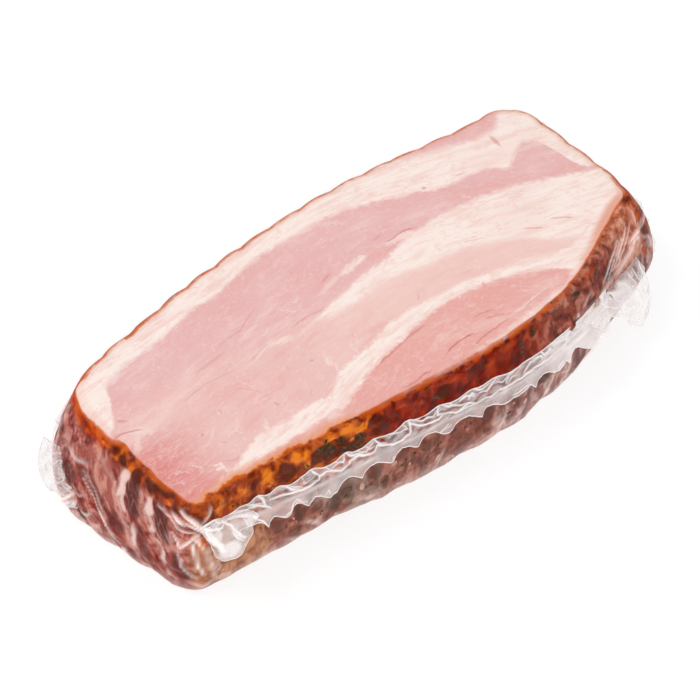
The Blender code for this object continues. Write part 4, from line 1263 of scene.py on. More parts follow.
# Wrinkles of the front seam: places, half width (mm) and how white they show, milky film with painted highlight
FRONT_WRINKLES = [
    # the weld, rising at each fold of the net and straight towards the right
    ([(20, 33), (24, 31.6), (27, 29.2), (29, 27.4)], 0.5, 0.8),
    ([(29, 31.5), (34, 31), (37, 30), (40, 28.7), (44, 29), (47, 29.3)], 0.5, 0.95),
    ([(47, 29.4), (47.5, 31), (50, 31.3), (53, 30), (55, 29), (59, 29.2)], 0.5, 0.95),
    ([(59.2, 29.3), (59.8, 31), (62.5, 31), (65, 29.5), (67, 28.8), (69, 29.3)], 0.5, 0.95),
    ([(69.3, 29.4), (70.5, 31), (73, 29.5), (76, 27.8), (80, 27.3), (83.5, 28.2), (84, 32)], 0.5, 0.95),
    ([(84.2, 32.4), (87, 30), (90, 28.3), (93, 28), (95.5, 27.5), (97, 29)], 0.5, 0.95),
    ([(97, 29), (99, 28.5), (102, 27), (105, 27.2), (107.5, 27.8), (110, 27)], 0.45, 0.9),
    ([(104, 26.6), (118, 26), (130, 26), (145, 25.8), (152, 26.4), (158, 26.6)], 0.45, 0.85),
    # folds between the upper edge and the weld
    ([(25, 35.6), (26.6, 32), (27.2, 29)], 0.5, 0.85), ([(33, 35.2), (36, 32.5), (40, 29)], 0.5, 0.85),
    ([(36, 33.4), (41, 29.6)], 0.4, 0.7), ([(20, 34.8), (23, 32.5), (26.5, 31.5)], 0.45, 0.7),
    ([(45, 35.4), (47.2, 31.5)], 0.5, 0.8), ([(41, 34.2), (42, 31), (46, 32)], 0.35, 0.55),
    ([(50, 33.6), (52, 31), (55, 32.5)], 0.4, 0.7), ([(54, 33.5), (57, 31.5), (58, 34.6)], 0.4, 0.75),
    ([(58.5, 34.6), (61, 32), (65, 30.8)], 0.45, 0.8), ([(62, 33.3), (66, 30.5), (69, 33.5)], 0.4, 0.7),
    ([(66, 33), (67.5, 31), (69, 31.5)], 0.35, 0.6), ([(69.6, 34), (71.5, 31), (74, 30)], 0.45, 0.8),
    ([(76, 32.5), (80, 31), (82.5, 30.6), (81, 33.5)], 0.4, 0.7), ([(83.6, 34), (84, 31)], 0.5, 0.85),
    ([(85, 33.3), (89, 31), (93, 30.5), (96, 32.5)], 0.4, 0.75), ([(95.6, 33), (95, 30), (97, 29.5)], 0.45, 0.8),
    ([(97, 33), (100, 31), (103, 30.5)], 0.4, 0.75), ([(100, 32), (104, 29), (107, 28)], 0.4, 0.75),
    ([(104, 31), (107, 32), (110, 30)], 0.5, 0.85), ([(107.4, 29.5), (109, 31.5), (110.4, 30.4)], 0.4, 0.8),
    ([(110, 32.5), (113, 31), (116, 31.5)], 0.4, 0.75), ([(112, 30), (115, 29), (118, 31), (120, 32.4)], 0.4, 0.8),
    ([(119, 30.6), (122, 29), (124, 30)], 0.35, 0.6), ([(123, 27.6), (124.6, 30.4), (130, 31)], 0.4, 0.7),
    ([(123.6, 27), (126, 29), (128, 28.4)], 0.35, 0.6), ([(131, 27), (134, 30), (137, 29.6)], 0.45, 0.8),
    ([(136, 30.6), (139, 29), (140, 27.6)], 0.45, 0.8), ([(139, 31), (140.6, 28.6), (143, 29.4), (145, 28)], 0.5, 0.85),
    ([(143, 30.6), (148, 30), (150, 28)], 0.6, 0.7), ([(146, 30), (151, 28), (153, 25.6)], 0.5, 0.8),
    ([(152, 31), (156, 27), (163, 25.6), (168, 26)], 0.9, 0.7), ([(158, 29), (166, 27), (172, 24)], 0.8, 0.6),
    # crumples near the hem
    ([(19, 30.6), (22, 27), (25, 23), (26.4, 20)], 0.55, 0.8), ([(14, 34), (19, 31), (22.6, 28)], 0.6, 0.8),
    ([(31.6, 21.6), (34, 20.9), (36, 21.8), (37, 24.6), (38.6, 25.8), (40.5, 24.8)], 0.4, 0.7),
    ([(37, 23), (39, 25), (42, 22.6)], 0.35, 0.7), ([(48.5, 21.4), (50, 22.8), (50.4, 20.4)], 0.4, 0.6),
    ([(94, 22), (97, 22), (99, 24)], 0.4, 0.7), ([(97.6, 21.6), (100, 22.6)], 0.35, 0.6),
    ([(126, 20.6), (130, 20.6), (133, 21)], 0.4, 0.65), ([(128, 21.6), (131, 22)], 0.3, 0.45),
    ([(146, 18.2), (148, 19.6), (150, 20.6)], 0.5, 0.7), ([(142, 25), (148, 24), (150, 21)], 0.4, 0.35),
    ([(152, 20), (153, 24), (153, 27)], 0.9, 0.6), ([(75, 21), (76, 22.6)], 0.4, 0.5),
    ([(160, 20), (165, 17), (168, 14)], 0.8, 0.5), ([(165, 24), (169, 19), (172, 14)], 0.7, 0.55),
]


def made_up_seam(start, end, height, seed):
    """Upper edge, hem and wrinkles of a seam on a side away from the front."""
    chance = random.Random(seed)
    top, hem, wrinkles = [(start, height - 3.0)], [(start, height - 4.0)], []
    top, hem = top + [(start + 5.0, height - 0.6)], hem + [(start + 5.0, height - 7.6)]
    at = start + 7.0
    while at < end - 15.0:
        step = chance.uniform(11.0, 14.0)
        rise = height + chance.uniform(1.4, 2.4)
        top += [(at, rise), (at + 0.42 * step, height + chance.uniform(-0.2, 0.4))]
        tooth = height - chance.uniform(12.4, 14.6)
        hem += [(at - 1.6, tooth + 2.6), (at, tooth), (at + 1.2, tooth + 2.6), (at + 3.4, height - 9.6),
                (at + 6.0, height - 9.2), (at + 0.72 * step, height - 10.8)]
        weld = height - chance.uniform(4.6, 5.4)
        wrinkles += [
            ([(at, weld), (at + 0.8, weld + 1.8), (at + 3.2, weld + 1.7), (at + 6, weld + 0.1),
              (at + step, weld)], 0.5, 0.95),
            ([(at, rise - 0.4), (at + chance.uniform(1, 3), height - 2.4), (at + 5, weld + 1.6)], 0.45, 0.8),
            ([(at + 4, height), (at + chance.uniform(5, 7), height - 3), (at + step - 2, height - 1)], 0.4, 0.7),
            ([(at + 2, height - 2), (at + 5, height - 0.6), (at + 7, height - 3.4)], 0.4, 0.6),
            ([(at - 2, tooth + 3.6), (at, tooth + 4.4), (at + 1.4, tooth + 3.4)], 0.4, 0.45)]
        at += step
    top += [(end - 5.0, height - 0.4), (end, height - 3.0)]
    return top, hem + [(end - 5.0, height - 7.6), (end, height - 4.0)], wrinkles, 0.0


def film_place(across, low, out, lean, drop):
    """Places of film from the spots of wall they cover and how far they stand off (metres)."""
    spots, leans = zip(*lean)
    _, drops = zip(*drop)
    distance = across - numpy.interp(across / MM, spots, leans) * out
    spots, _ = zip(*drop)
    height = low + numpy.interp(across / MM, spots, drops) * out
    return WALL.place(distance / AROUND, height, out)


def wrinkled(across, low, wrinkles):
    """How white and how raised the wrinkles are at each place: milky film with painted highlight, in one mask."""
    milk_and_highlight = numpy.zeros(numpy.shape(across))
    for points, width, milk_and_highlight_share in wrinkles:
        line = [(one * MM, two * MM) for one, two in points]
        near = (across > line[0][0] - 8 * MM) & (across < line[0][0] + 60 * MM)
        apart, along = line_distance(across[near], low[near], line)
        ends = numpy.sin(numpy.pi * (0.15 + 0.70 * along)) ** 0.6
        milk_and_highlight[near] = numpy.maximum(milk_and_highlight[near], milk_and_highlight_share * ends * numpy.exp(-(apart / (width * MM)) ** 2.0))
    return milk_and_highlight


def seam_sheet(name, top, hem, wrinkles, thick, lean, drop, seed):
    """The seam's upper film, from the wall over the weld to the hem.  thick is how much
    milkier its far end is."""
    start, end = top[0][0] * MM, top[-1][0] * MM
    columns = int((end - start) / SEAM_CELL)
    piece = unit_grid(name, columns, SEAM_ROWS)
    unit = points_of(piece)
    across, inwards = start + (end - start) * unit[:, 0], unit[:, 1]
    tops = numpy.array(top, dtype=float) * MM
    hems = numpy.array(hem, dtype=float) * MM
    upper = smooth_between(tops[:, 0], tops[:, 1], across) + 0.12 * MM * ripple(across, across * 0, seed, 2 * MM)
    rim = numpy.interp(across, hems[:, 0], hems[:, 1])
    rim = rim + 0.16 * MM * ripple(across, across * 0, seed + 1, 1.6 * MM)
    low = upper + (rim - upper) * inwards
    line = numpy.interp(across, tops[:, 0], numpy.convolve(
        numpy.pad(tops[:, 1], 3, mode="edge"), numpy.ones(7) / 7, mode="valid"))
    root = line - 2.2 * MM
    spots, drops = zip(*drop)
    fall = numpy.interp(across / MM, spots, drops) + HANG
    gap = (root - low) / fall
    out = 0.5 * (gap + numpy.sqrt(gap ** 2 + (0.9 * MM) ** 2))
    bend_x = across + 0.35 * MM * ripple(across, low, seed + 2, 3.2 * MM)
    bend_y = low + 0.35 * MM * ripple(across, low, seed + 3, 3.2 * MM)
    lines = wrinkled(bend_x, bend_y, wrinkles)
    tent = ease(low, root - 5.2 * MM, root - 3.8 * MM)
    puff = ripple(across, low, seed + 4, 3.0 * MM, 2.2 * MM)
    out = out + (0.45 * lines - 0.25 + 0.35 * puff * tent) * MM * ease(inwards, 0.0, 0.12)
    sway = 0.35 * MM * ripple(across, low * 0.4, seed + 5, 4.5 * MM)
    out = numpy.maximum(out + sway * ease(inwards, 0.4, 1.0), 0.06 * MM)
    ends = ease(unit[:, 0], 0.0, 0.012) * ease(unit[:, 0], 1.0, 0.988)
    out = 0.06 * MM + (out - 0.06 * MM) * (0.35 + 0.65 * ends)
    edge = ease(low - rim, 0.55 * MM, 0.12 * MM)
    first = ease(upper - low, 0.60 * MM, 0.15 * MM)
    filled = thick * ease(across, 128 * MM, 158 * MM)
    cells = 0.06 + 0.16 * ease(puff, -0.3, 0.5) + 0.46 * filled
    body = 0.19 + 0.05 * ripple(across, low, seed + 6, 6 * MM, 3 * MM) + 0.30 * filled
    ground = cells + (body - cells) * (1 - tent)
    # Painted highlight: a brighter band just below the seam's root, shining unevenly. The bright hem edge, upper edge
    # and wrinkle lines are painted highlight too, over the film's own milky body and cells.
    shine = 0.5 + 0.5 * ripple(across, low, seed + 7, 5 * MM)
    glow = 0.24 * shine * numpy.exp(-((low - root + 5.4 * MM) / (1.0 * MM)) ** 2.0)
    add_mask(piece, "milk_and_highlight", numpy.max([1.0 * lines, 0.92 * edge, 0.85 * first, ground + glow * (1 - tent)], axis=0))
    move_points(piece, film_place(across, low, out, lean, drop))
    thicken(piece, FILM_WALL)
    return piece


def under_sheet(name, top, lean, drop, seed):
    """The seam's lower film, from the weld back to the wall."""
    start, end = (top[0][0] + 1) * MM, (top[-1][0] - 1) * MM
    piece = unit_grid(name, int((end - start) / (2 * SEAM_CELL)), 10)
    unit = points_of(piece)
    across = start + (end - start) * unit[:, 0]
    spots, tops = zip(*top)
    root = numpy.interp(across / MM, spots, tops) * 0.0 + numpy.interp(
        across / MM, (spots[0], spots[-1]), (tops[0], tops[-1])) - 2.2
    weld = 2.3 * MM * (1 - unit[:, 1]) + 0.05 * MM
    swell = 0.3 * MM * ripple(across, unit[:, 1] * 3 * MM, seed + 8, 3 * MM) * numpy.sin(numpy.pi * unit[:, 1])
    spots, leans = zip(*lean)
    distance = across - numpy.interp(across / MM, spots, leans) * weld
    height = root * MM - HANG * weld - 3.2 * MM * unit[:, 1] - 0.5 * MM
    add_mask(piece, "milk_and_highlight", numpy.full(len(unit), 0.06))
    move_points(piece, WALL.place(distance / AROUND, height, weld + numpy.abs(swell)))
    thicken(piece, FILM_WALL)
    return piece


def build_seam(node, shape, lean, drop, seed, material):
    name = node + "_film"
    upper = seam_sheet(name, *shape, lean, drop, seed)
    lower = under_sheet(name + "_under", shape[0], lean, drop, seed)
    piece = settle(join_into(upper, [lower]))
    piece.name = name
    piece.data.materials.clear()
    piece.data.materials.append(material)
    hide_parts(node)
    return piece


# ------------------------------------------------------------------ ears

def through_ribs(ribs, columns, rows):
    """A table of points, columns by rows, on a smooth sheet through the ribs."""
    lines = numpy.array(ribs, dtype=float)
    along = smooth_between(numpy.linspace(0, 1, lines.shape[1]), numpy.swapaxes(lines, 0, 1),
                           numpy.linspace(0.0, 1.0, rows + 1))
    return smooth_between(numpy.linspace(0, 1, lines.shape[0]), numpy.swapaxes(along, 0, 1),
                          numpy.linspace(0.0, 1.0, columns + 1))


def film_sheet(name, ribs, columns, rows, pleats, pleat_height, crumple, body, root, seed, drawn=None):
    """A thin closed sheet of film drawn through ribs, each a row of points in metres, with
    pleats that open out away from its gathered start.  root is how milky that start is.
    drawn is the ribs as places of wall they cover, wrinkles and bright lobes told likewise, painted highlight over
    milky film."""
    piece = unit_grid(name, columns, rows)
    unit = points_of(piece)
    table = through_ribs(ribs, columns, rows)
    facing = numpy.cross(numpy.gradient(table, axis=0), numpy.gradient(table, axis=1))
    facing /= numpy.linalg.norm(facing, axis=2)[..., None] + 1e-12
    column = numpy.round(unit[:, 0] * columns).astype(int)
    row = numpy.round(unit[:, 1] * rows).astype(int)
    places, normals = table[column, row], facing[column, row]
    across, out = unit[:, 0], unit[:, 1]
    wander = 0.13 * ripple(across * 9 * MM, out * 9 * MM, seed + 4, 3 * MM)
    pleat = numpy.cos(2 * numpy.pi * pleats * (across + wander))
    small = ripple(across * 16 * MM, out * 16 * MM, seed, 2.2 * MM)
    sharp = 1.0 - numpy.abs(ripple(across * 14 * MM, out * 20 * MM, seed + 9, 3.0 * MM)) * 2.4
    fine = 1.0 - numpy.abs(ripple(across * 14 * MM, out * 14 * MM, seed + 12, 1.5 * MM)) * 2.6
    lines, lobes, plain = numpy.zeros(len(unit)), numpy.zeros(len(unit)), 1.0
    if drawn:
        cover = through_ribs(drawn[0], columns, rows)[column, row] * MM
        bend = 0.3 * MM * ripple(cover[:, 0], cover[:, 1], seed + 20, 2.4 * MM)
        lines = wrinkled(cover[:, 0] + bend, cover[:, 1] - bend, drawn[1])
        for middle, tall, wide, high, strength in drawn[2]:
            apart = numpy.hypot((cover[:, 0] / MM - middle) / wide, (cover[:, 1] / MM - tall) / high)
            lobes = numpy.maximum(lobes, strength * ease(apart, 1.4, 0.5))
        plain = 0.30
    lift = (pleat_height * pleat * out ** 0.7 + 0.6 * lines
            + crumple * (small + 0.6 * sharp + 0.3 * fine) * ease(out, 0.0, 0.3)) * MM
    move_points(piece, places + normals * lift[:, None])
    border = numpy.minimum(numpy.minimum(across, 1 - across) * columns, (1 - out) * rows)
    crest = ease(pleat, 0.70, 0.99) * (1 - 0.4 * out)
    crease = ease(sharp, 0.72, 0.97)
    glint = ease(fine, 0.80, 0.98) * ease(ripple(across * 9 * MM, out * 9 * MM, seed + 15, 2 * MM), 0.0, 0.5)
    ground = body * (0.8 + 0.5 * ripple(across * 12 * MM, out * 12 * MM, seed + 17, 4 * MM))
    # The bright crests, creases, glints, edge, wrinkles and lobes are painted highlight; the ground and the root are
    # the film's own milkiness.
    milk_and_highlight = numpy.max([0.85 * ease(border, 1.6, 0.3), 0.70 * plain * crest, 0.66 * plain * crease,
                      0.55 * plain * glint, ground, root * ease(out, 0.12, 0.0), lines, lobes], axis=0)
    ragged = 0.5 + 0.5 * ripple(across * 22 * MM, out * 4 * MM, seed + 22, 1.6 * MM)
    clear_root = ease(out, 0.0, 0.04 + 0.22 * ragged * ease(across, 0.0, 0.4))
    add_mask(piece, "milk_and_highlight", milk_and_highlight if root > 0 else milk_and_highlight * clear_root)
    thicken(piece, FILM_WALL)
    return piece


def covering(ribs):
    """Ribs told by the spot of wall they cover (mm) and how far they stand off, as places."""
    table = numpy.array(ribs, dtype=float) * MM
    return film_place(table[..., 0], table[..., 1], table[..., 2], LEAN, DROP)


def from_wall(ribs):
    """Ribs in mm as places, each with its first point moved level onto the wall."""
    places = numpy.array(ribs, dtype=float) * MM
    shares = numpy.linspace(0.0, 1.0, 2400, endpoint=False)
    for rib in places:
        wall = WALL.place(shares, numpy.full(len(shares), rib[0, 2]), numpy.full(len(shares), 0.25 * MM))
        rib[0] = wall[numpy.argmin(numpy.linalg.norm(wall - rib[0], axis=1))]
    return places


# Ribs of each ear, from its gather outwards
FRONT_LEFT_RIBS = [
    [(3.0, 35.6, 0.5), (4.6, 31.6, 2.4), (6.6, 26.6, 4.8), (7.4, 22.0, 6.0)],
    [(3.6, 36.2, 0.5), (6.0, 31.4, 3.0), (8.0, 24.4, 6.0), (9.0, 17.4, 7.6)],
    [(4.6, 36.8, 0.5), (8.0, 31.4, 3.4), (10.2, 23.4, 6.8), (10.8, 15.0, 8.6)],
    [(6.0, 37.2, 0.5), (10.4, 31.6, 3.6), (13.0, 23.4, 6.8), (13.2, 14.6, 8.8)],
    [(7.6, 37.4, 0.5), (13.0, 31.8, 3.4), (16.0, 24.6, 6.4), (16.6, 16.6, 8.0)],
    [(9.6, 36.6, 0.5), (15.4, 32.0, 3.0), (18.6, 26.4, 5.6), (19.6, 20.8, 7.0)],
    [(12.4, 35.8, 0.5), (17.6, 32.4, 2.4), (20.4, 28.4, 4.4), (21.4, 24.4, 5.8)],
    [(15.6, 35.6, 0.5), (19.6, 33.0, 2.0), (22.2, 30.0, 3.4), (23.6, 26.6, 4.8)],
]
FRONT_RIGHT_RIBS = [
    [(56.6, -48.3, 29.8), (58.6, -51.6, 28.4), (60.6, -53.6, 26.6), (62.0, -54.0, 24.0)],
    [(63.4, -46.9, 29.6), (65.0, -49.6, 28.6), (66.4, -51.2, 26.8), (66.4, -51.0, 24.2)],
    [(70.4, -45.0, 29.2), (71.6, -48.4, 28.0), (72.0, -50.4, 26.0), (71.0, -50.9, 23.4)],
    [(77.2, -42.9, 28.8), (78.4, -47.2, 26.6), (78.6, -50.0, 22.0), (78.6, -50.2, 16.4)],
    [(83.0, -41.2, 28.2), (84.0, -46.6, 24.2), (83.4, -49.4, 15.8), (82.6, -48.0, 7.2)],
    [(87.4, -40.0, 27.6), (87.8, -46.6, 22.6), (86.4, -50.4, 14.0), (85.4, -48.8, 5.2)],
    [(91.2, -39.2, 27.4), (91.0, -45.4, 22.4), (89.6, -50.0, 14.6), (87.8, -50.2, 5.4)],
    [(94.4, -38.7, 27.6), (93.6, -43.2, 23.6), (92.0, -47.6, 17.0), (89.6, -50.4, 9.6)],
]
BACK_LEFT_RIBS = [
    [(-113.4, 17.0, 20.0), (-115.4, 17.4, 17.2), (-117.2, 18.4, 14.4)],
    [(-113.4, 19.0, 21.4), (-117.0, 20.4, 18.8), (-120.2, 21.4, 15.4)],
    [(-113.2, 21.4, 23.0), (-118.0, 23.4, 21.4), (-122.2, 24.8, 18.4)],
    [(-112.6, 23.6, 24.4), (-117.6, 26.0, 25.0), (-121.8, 28.0, 23.8)],
    [(-112.0, 25.2, 25.4), (-116.0, 28.0, 28.0), (-119.2, 30.6, 28.6)],
    [(-111.2, 26.8, 26.0), (-114.0, 29.8, 29.8), (-115.4, 32.6, 31.6)],
]
BACK_RIGHT_RIBS = [
    [(108.6, 27.0, 24.6), (112.4, 26.0, 21.6), (116.0, 25.6, 18.4)],
    [(108.8, 28.4, 25.6), (114.0, 29.2, 23.4), (118.4, 30.0, 20.4)],
    [(108.6, 30.0, 26.4), (114.2, 32.6, 25.0), (118.8, 34.8, 22.6)],
    [(107.8, 31.6, 27.0), (112.8, 35.6, 26.6), (116.4, 38.8, 24.8)],
    [(106.6, 33.0, 27.2), (110.0, 37.4, 27.4), (112.4, 41.0, 26.2)],
]
CRIMP_RIBS = [
    [(-113.8, 15.4, 14.6), (-116.0, 14.8, 13.2), (-117.0, 14.4, 11.4)],
    [(-114.2, 17.0, 14.0), (-116.8, 16.8, 12.2), (-118.0, 16.8, 10.0)],
    [(-114.4, 18.8, 13.4), (-117.4, 19.0, 11.2), (-118.6, 19.4, 8.8)],
    [(-114.4, 20.6, 13.2), (-117.0, 21.4, 11.0), (-118.0, 22.2, 8.6)],
]
# Wrinkles of the front left ear: places covered, half width (mm) and how white they show, milky film with painted
# highlight
EAR_WRINKLES = [
    ([(6.4, 31), (8.6, 26), (10, 21), (12, 17)], 1.0, 0.90),
    ([(10, 35), (12.4, 31), (14, 27), (16, 22), (17.6, 20)], 0.6, 0.95),
    ([(13, 27), (15.4, 21)], 0.45, 1.0), ([(14.6, 26.6), (17, 20.6)], 0.4, 0.9),
    ([(12.4, 34), (17, 32), (20, 29.4), (22, 27.6), (24.6, 23.6), (26.4, 20)], 0.7, 0.95),
    ([(14.6, 34.8), (20, 32.6), (22.6, 29.8)], 0.45, 0.8), ([(8, 36.8), (9, 34.6), (12, 33.6)], 0.45, 0.9),
    ([(10, 36.6), (10.6, 33), (9, 31), (8, 33.6)], 0.4, 0.85), ([(18, 29.6), (19, 26), (18.6, 23)], 0.5, 0.7),
    ([(4.4, 35), (7, 32.6), (9.6, 31.6)], 0.8, 0.95), ([(5, 33.4), (6.6, 29), (8.4, 24.4)], 0.6, 0.9),
    ([(16.4, 33.4), (18.4, 30.6)], 0.4, 0.6),
]
# Bright lobes of that ear, milky film lit up as painted highlight: middle, half sizes (mm) and strength
EAR_LOBES = [(12.0, 19.6, 3.0, 4.4, 0.62), (8.6, 28.0, 1.6, 4.0, 0.5), (20.0, 27.0, 2.0, 3.0, 0.42),
             (9.0, 34.6, 3.4, 1.8, 0.42)]
EARS = {
    "front_left_ear": (covering(FRONT_LEFT_RIBS), 84, 70, 3.4, 0.50, 0.14, 0.20, 0.9, 31,
                       (numpy.array(FRONT_LEFT_RIBS)[..., :2], EAR_WRINKLES, EAR_LOBES)),
    "front_right_ear": (from_wall(FRONT_RIGHT_RIBS), 130, 70, 6.0, 0.60, 0.32, 0.48, 0.0, 47),
    "back_left_ear": (numpy.array(BACK_LEFT_RIBS) * MM, 60, 44, 3.2, 0.6, 0.14, 0.26, 0.4, 59),
    "back_right_ear": (numpy.array(BACK_RIGHT_RIBS) * MM, 60, 44, 3.2, 0.6, 0.24, 0.24, 0.8, 73),
    "left_crimp": (numpy.array(CRIMP_RIBS) * MM, 50, 30, 3.0, 0.4, 0.26, 0.5, 0.8, 83),
}


def build_ear(node, sizes, material):
    piece = film_sheet(node + "_film", *sizes)
    piece.data.materials.clear()
    piece.data.materials.append(material)
    settle(piece)
    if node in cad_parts:
        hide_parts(node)
    return piece


# ------------------------------------------------------------------ herbs and flakes

def flake(corners, seed, width, height, thickness):
    """One flat flake with an uneven outline."""
    chance = random.Random(seed)
    bpy.ops.object.select_all(action="DESELECT")
    bpy.ops.mesh.primitive_circle_add(vertices=corners, radius=0.5, fill_type="NGON")
    piece = bpy.context.object
    for point in piece.data.vertices:
        stretch = chance.uniform(0.62, 1.15)
        point.co.x *= width * stretch
        point.co.y *= height * stretch
    bpy.ops.object.mode_set(mode="EDIT")
    bpy.ops.mesh.select_all(action="SELECT")
    bpy.ops.mesh.extrude_region_move(TRANSFORM_OT_translate={"value": (0.0, 0.0, thickness)})
    bpy.ops.transform.resize(value=(0.72, 0.72, 1.0))
    bpy.ops.object.mode_set(mode="OBJECT")
    return piece


def place_flake(piece, distance, height, turn, sink):
    """Lays a flake on the meat's wall."""
    share = numpy.array([distance / AROUND])
    tall = numpy.array([height])
    out = fold_relief(share, tall) - FILM_GAP - sink - shell_inset(share, tall)
    spot = WALL.place(share, tall, out)[0]
    above = WALL.place(share, tall + MM, out)[0]
    facing = WALL.outward(share)[0]
    aside = Vector((-facing[1], facing[0], 0.0))
    up = Vector(above - spot).normalized()
    front = aside.cross(up).normalized()
    turned = (aside * math.cos(turn) + up * math.sin(turn), up * math.cos(turn) - aside * math.sin(turn))
    for point in piece.data.vertices:
        x, y, z = point.co
        point.co = Vector(spot) + turned[0] * x + turned[1] * y + front * z


def build_flakes(name, spots, material, sink):
    """One piece from many flakes: distance round, height, width, length (mm) and turn (degrees)."""
    pieces = []
    for number, (distance, height, width, length, turn) in enumerate(spots):
        piece = flake(7 + number % 3, number + len(name), width * MM, length * MM, 0.22 * MM)
        place_flake(piece, distance * MM, height * MM, math.radians(turn), sink)
        pieces.append(piece)
    whole = join_into(pieces[0], pieces[1:])
    whole.name = name
    whole.data.name = name
    bpy.ops.object.select_all(action="DESELECT")
    whole.select_set(True)
    bpy.context.view_layer.objects.active = whole
    bpy.ops.object.mode_set(mode="EDIT")
    bpy.ops.mesh.select_all(action="SELECT")
    bpy.ops.mesh.normals_make_consistent(inside=False)
    bpy.ops.object.mode_set(mode="OBJECT")
    whole.data.materials.append(material)
    whole.select_set(False)
    return whole


# Clumps of herb: distance round, height, how many, spread (mm)
HERB_CLUMPS = [
    (49.5, 41.6, 5, 1.6), (53.0, 39.8, 7, 2.2), (57.0, 41.0, 7, 1.9), (58.2, 36.6, 6, 1.8),
    (65.0, 37.2, 6, 1.6), (63.8, 35.0, 5, 2.0), (52.0, 37.0, 4, 1.8), (43.0, 38.0, 4, 1.8),
    (16.6, 37.6, 3, 1.2), (6.2, 40.2, 3, 1.2), (92.4, 42.4, 3, 1.0), (95.6, 37.0, 6, 2.4),
    (131.0, 36.6, 4, 2.2), (138.0, 40.6, 6, 1.5), (160.6, 41.2, 6, 1.8), (47.0, 13.0, 4, 3.0),
    (58.0, 16.0, 5, 3.0), (66.6, 14.0, 5, 2.6), (72.6, 11.6, 5, 2.2), (81.6, 13.8, 5, 2.4),
    (89.6, 9.4, 5, 2.6), (88.0, 18.0, 4, 2.2), (95.0, 15.6, 4, 2.4), (108.0, 18.0, 3, 2.0),
    (124.0, 13.0, 4, 2.6), (140.0, 16.0, 3, 2.0), (150.0, 19.0, 3, 2.4), (30.6, 36.0, 2, 1.2),
    (72.0, 34.6, 2, 1.4), (112.0, 35.0, 2, 1.4), (228.0, 30.0, 3, 3.0), (240.0, 18.0, 3, 4.0),
    (290.0, 36.0, 3, 3.0), (318.0, 14.0, 4, 4.0), (352.0, 37.0, 4, 3.0), (380.0, 16.0, 3, 4.0),
    (408.0, 36.0, 3, 3.0), (436.0, 18.0, 3, 4.0),
]
PALE_FLAKES = [
    (63.0, 16.0, 2.4, 5.2, 4), (76.2, 18.0, 3.2, 2.8, 0), (83.0, 13.0, 1.2, 1.6, 20),
    (94.4, 7.6, 1.5, 6.4, -24), (6.6, 12.0, 2.6, 1.5, 30), (8.4, 10.6, 1.4, 1.2, 0),
    (56.6, 6.6, 2.2, 1.0, 12), (77.6, 6.0, 1.0, 1.4, 0), (101.0, 4.6, 1.4, 1.4, 0),
    (131.4, 12.6, 1.8, 2.6, -10), (126.0, 16.0, 1.2, 1.4, 0), (36.6, 16.8, 1.0, 1.6, 30),
    (37.6, 14.4, 0.7, 0.9, 0), (159.0, 33.0, 1.2, 1.8, -10), (106.6, 15.6, 1.2, 1.0, 40),
    (250.0, 22.0, 1.8, 2.6, 10), (300.0, 12.0, 2.2, 3.0, 40), (334.0, 33.0, 1.8, 2.2, 10),
    (366.0, 18.0, 2.0, 3.4, -20), (420.0, 30.0, 1.8, 2.4, 30),
]


def herb_spots():
    chance = random.Random(11)
    spots = []
    for distance, height, count, spread in HERB_CLUMPS:
        for _ in range(count):
            at = distance + chance.gauss(0.0, 0.55) * spread
            tall = min(43.0, height + chance.gauss(0.0, 0.45) * spread)
            size = chance.uniform(0.5, 1.5)
            spots.append((at, max(1.0, tall), size, size * chance.uniform(0.5, 1.6), chance.uniform(0, 180)))
    return spots


def flake_material(name, dark, light, size):
    material, nodes = new_material(name)
    place = nodes.millimetres("object")
    tone = nodes.noise(place, size, 2.0, 0.6)
    fine = nodes.noise(place, 3.2, 2.0, 0.6)
    base = nodes.mix(nodes.ease(tone, 0.38, 0.62), dark, light)
    bump = nodes.add("ShaderNodeBump", {"Height": fine, "Strength": 0.5, "Distance": 0.0001})
    shader = nodes.add("ShaderNodeBsdfPrincipled", {
        "Base Color": base, "Roughness": nodes.maths("MULTIPLY_ADD", fine, 0.3, 0.4),
        "Specular IOR Level": 0.05, "Normal": bump.outputs["Normal"]})
    finish_material(nodes, shader.outputs[0])
    return material


# ------------------------------------------------------------------ stage, lights and camera

def add_stage():
    bpy.ops.mesh.primitive_plane_add(size=6.0, location=(0.0, 0.0, -0.2 * MM))
    floor = bpy.context.object
    floor.name = "floor"
    material, nodes = new_material("pale_floor")
    shader = nodes.add("ShaderNodeBsdfPrincipled", {
        "Base Color": (0.24, 0.24, 0.24, 1.0), "Roughness": 0.9, "Specular IOR Level": 0.0,
        "Emission Color": (1.0, 1.0, 1.0, 1.0), "Emission Strength": 0.80})
    finish_material(nodes, shader.outputs[0])
    floor.data.materials.append(material)


def aim(thing, target):
    direction = Vector(target) - thing.location
    thing.rotation_euler = direction.to_track_quat("-Z", "Y").to_euler()


def add_light(name, place, size, power, target=(0.0, 0.0, 0.02)):
    data = bpy.data.lights.new(name, "AREA")
    data.shape = "RECTANGLE"
    data.size, data.size_y = size
    data.energy = power
    lamp = bpy.data.objects.new(name, data)
    bpy.context.scene.collection.objects.link(lamp)
    lamp.location = place
    aim(lamp, target)


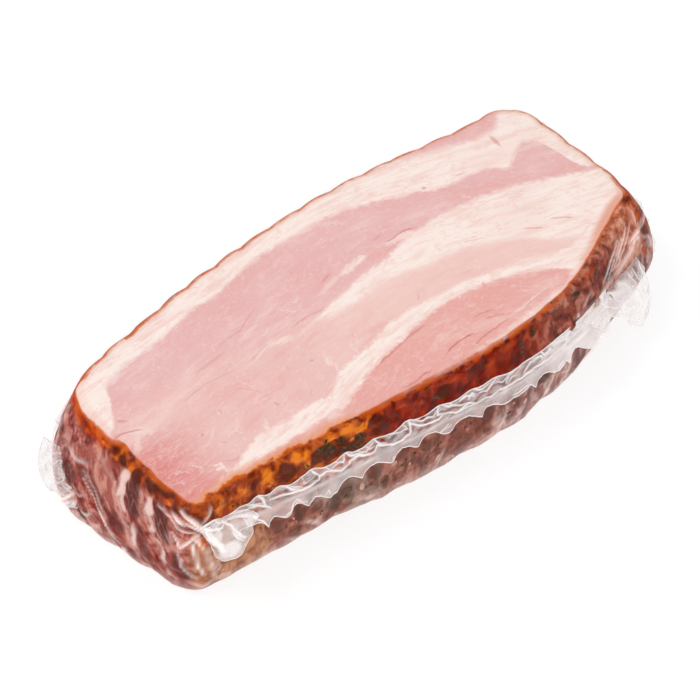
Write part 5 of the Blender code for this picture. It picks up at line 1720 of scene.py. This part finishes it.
def add_camera():
    data = bpy.data.cameras.new("camera")
    data.sensor_width = 36.0
    data.lens = 18.0 / math.tan(math.radians(9.0))
    camera = bpy.data.objects.new("camera", data)
    bpy.context.scene.collection.objects.link(camera)
    camera.location = (-0.3303, -0.3697, 0.6161)
    aim(camera, (-0.009, 0.0, 0.022))
    bpy.context.scene.camera = camera


def light_studio():
    world = bpy.data.worlds.new("studio")
    bpy.context.scene.world = world
    world.use_nodes = True
    world.node_tree.nodes["Background"].inputs["Color"].default_value = (1.0, 1.0, 1.0, 1.0)
    world.node_tree.nodes["Background"].inputs["Strength"].default_value = 0.72
    add_light("key", (-0.9, 0.5, 2.0), (0.9, 0.7), 12.0)
    add_light("front", (-0.9, -1.6, 1.2), (0.34, 0.14), 6.0)


meat = build_meat()
wrap = build_wrap()
strip_film = film_material("seam_film", 0.005, colour(252, 247, 246), 0.10, 0.10, 3.0, 0.3, 0.10)
# The loose ears' film is a greyer copy: its milky colour paints in the soft shade they show.
ear_film_painted_shade = film_material("ear_film_painted_shade", 0.02, colour(238, 231, 230), 0.10, 0.10, 3.0, 0.3, 0.08)
FRONT_SEAM = (FRONT_TOP, FRONT_HEM, FRONT_WRINKLES, 1.0)
seams = [
    build_seam("front_seam", FRONT_SEAM, LEAN, DROP, 1, strip_film),
    build_seam("right_seam", made_up_seam(213.0, 261.0, 27.0, 5), NO_LEAN, PLAIN_DROP, 20, strip_film),
    build_seam("back_seam", made_up_seam(268.0, 474.0, 27.0, 6), NO_LEAN, PLAIN_DROP, 40, strip_film),
]
ears = [build_ear(node, sizes, strip_film if node.startswith("front") else ear_film_painted_shade)
        for node, sizes in EARS.items()]
herbs = build_flakes("herb_flecks", herb_spots(), flake_material(
    "dried_herb", colour(40, 30, 8), colour(96, 78, 34), 0.9), 0.10 * MM)
pale = build_flakes("pale_flakes", PALE_FLAKES, flake_material(
    "pale_flake", colour(186, 132, 116), colour(214, 168, 150), 0.5), 0.0)
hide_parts(BLOCK)
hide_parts(BLOCK)
for piece in [meat, wrap, herbs, pale] + seams + ears:
    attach(piece, BODY)
add_stage()
light_studio()
add_camera()
bpy.context.scene.view_settings.view_transform = "Standard"
bpy.context.scene.cycles.transparent_max_bounces = 32
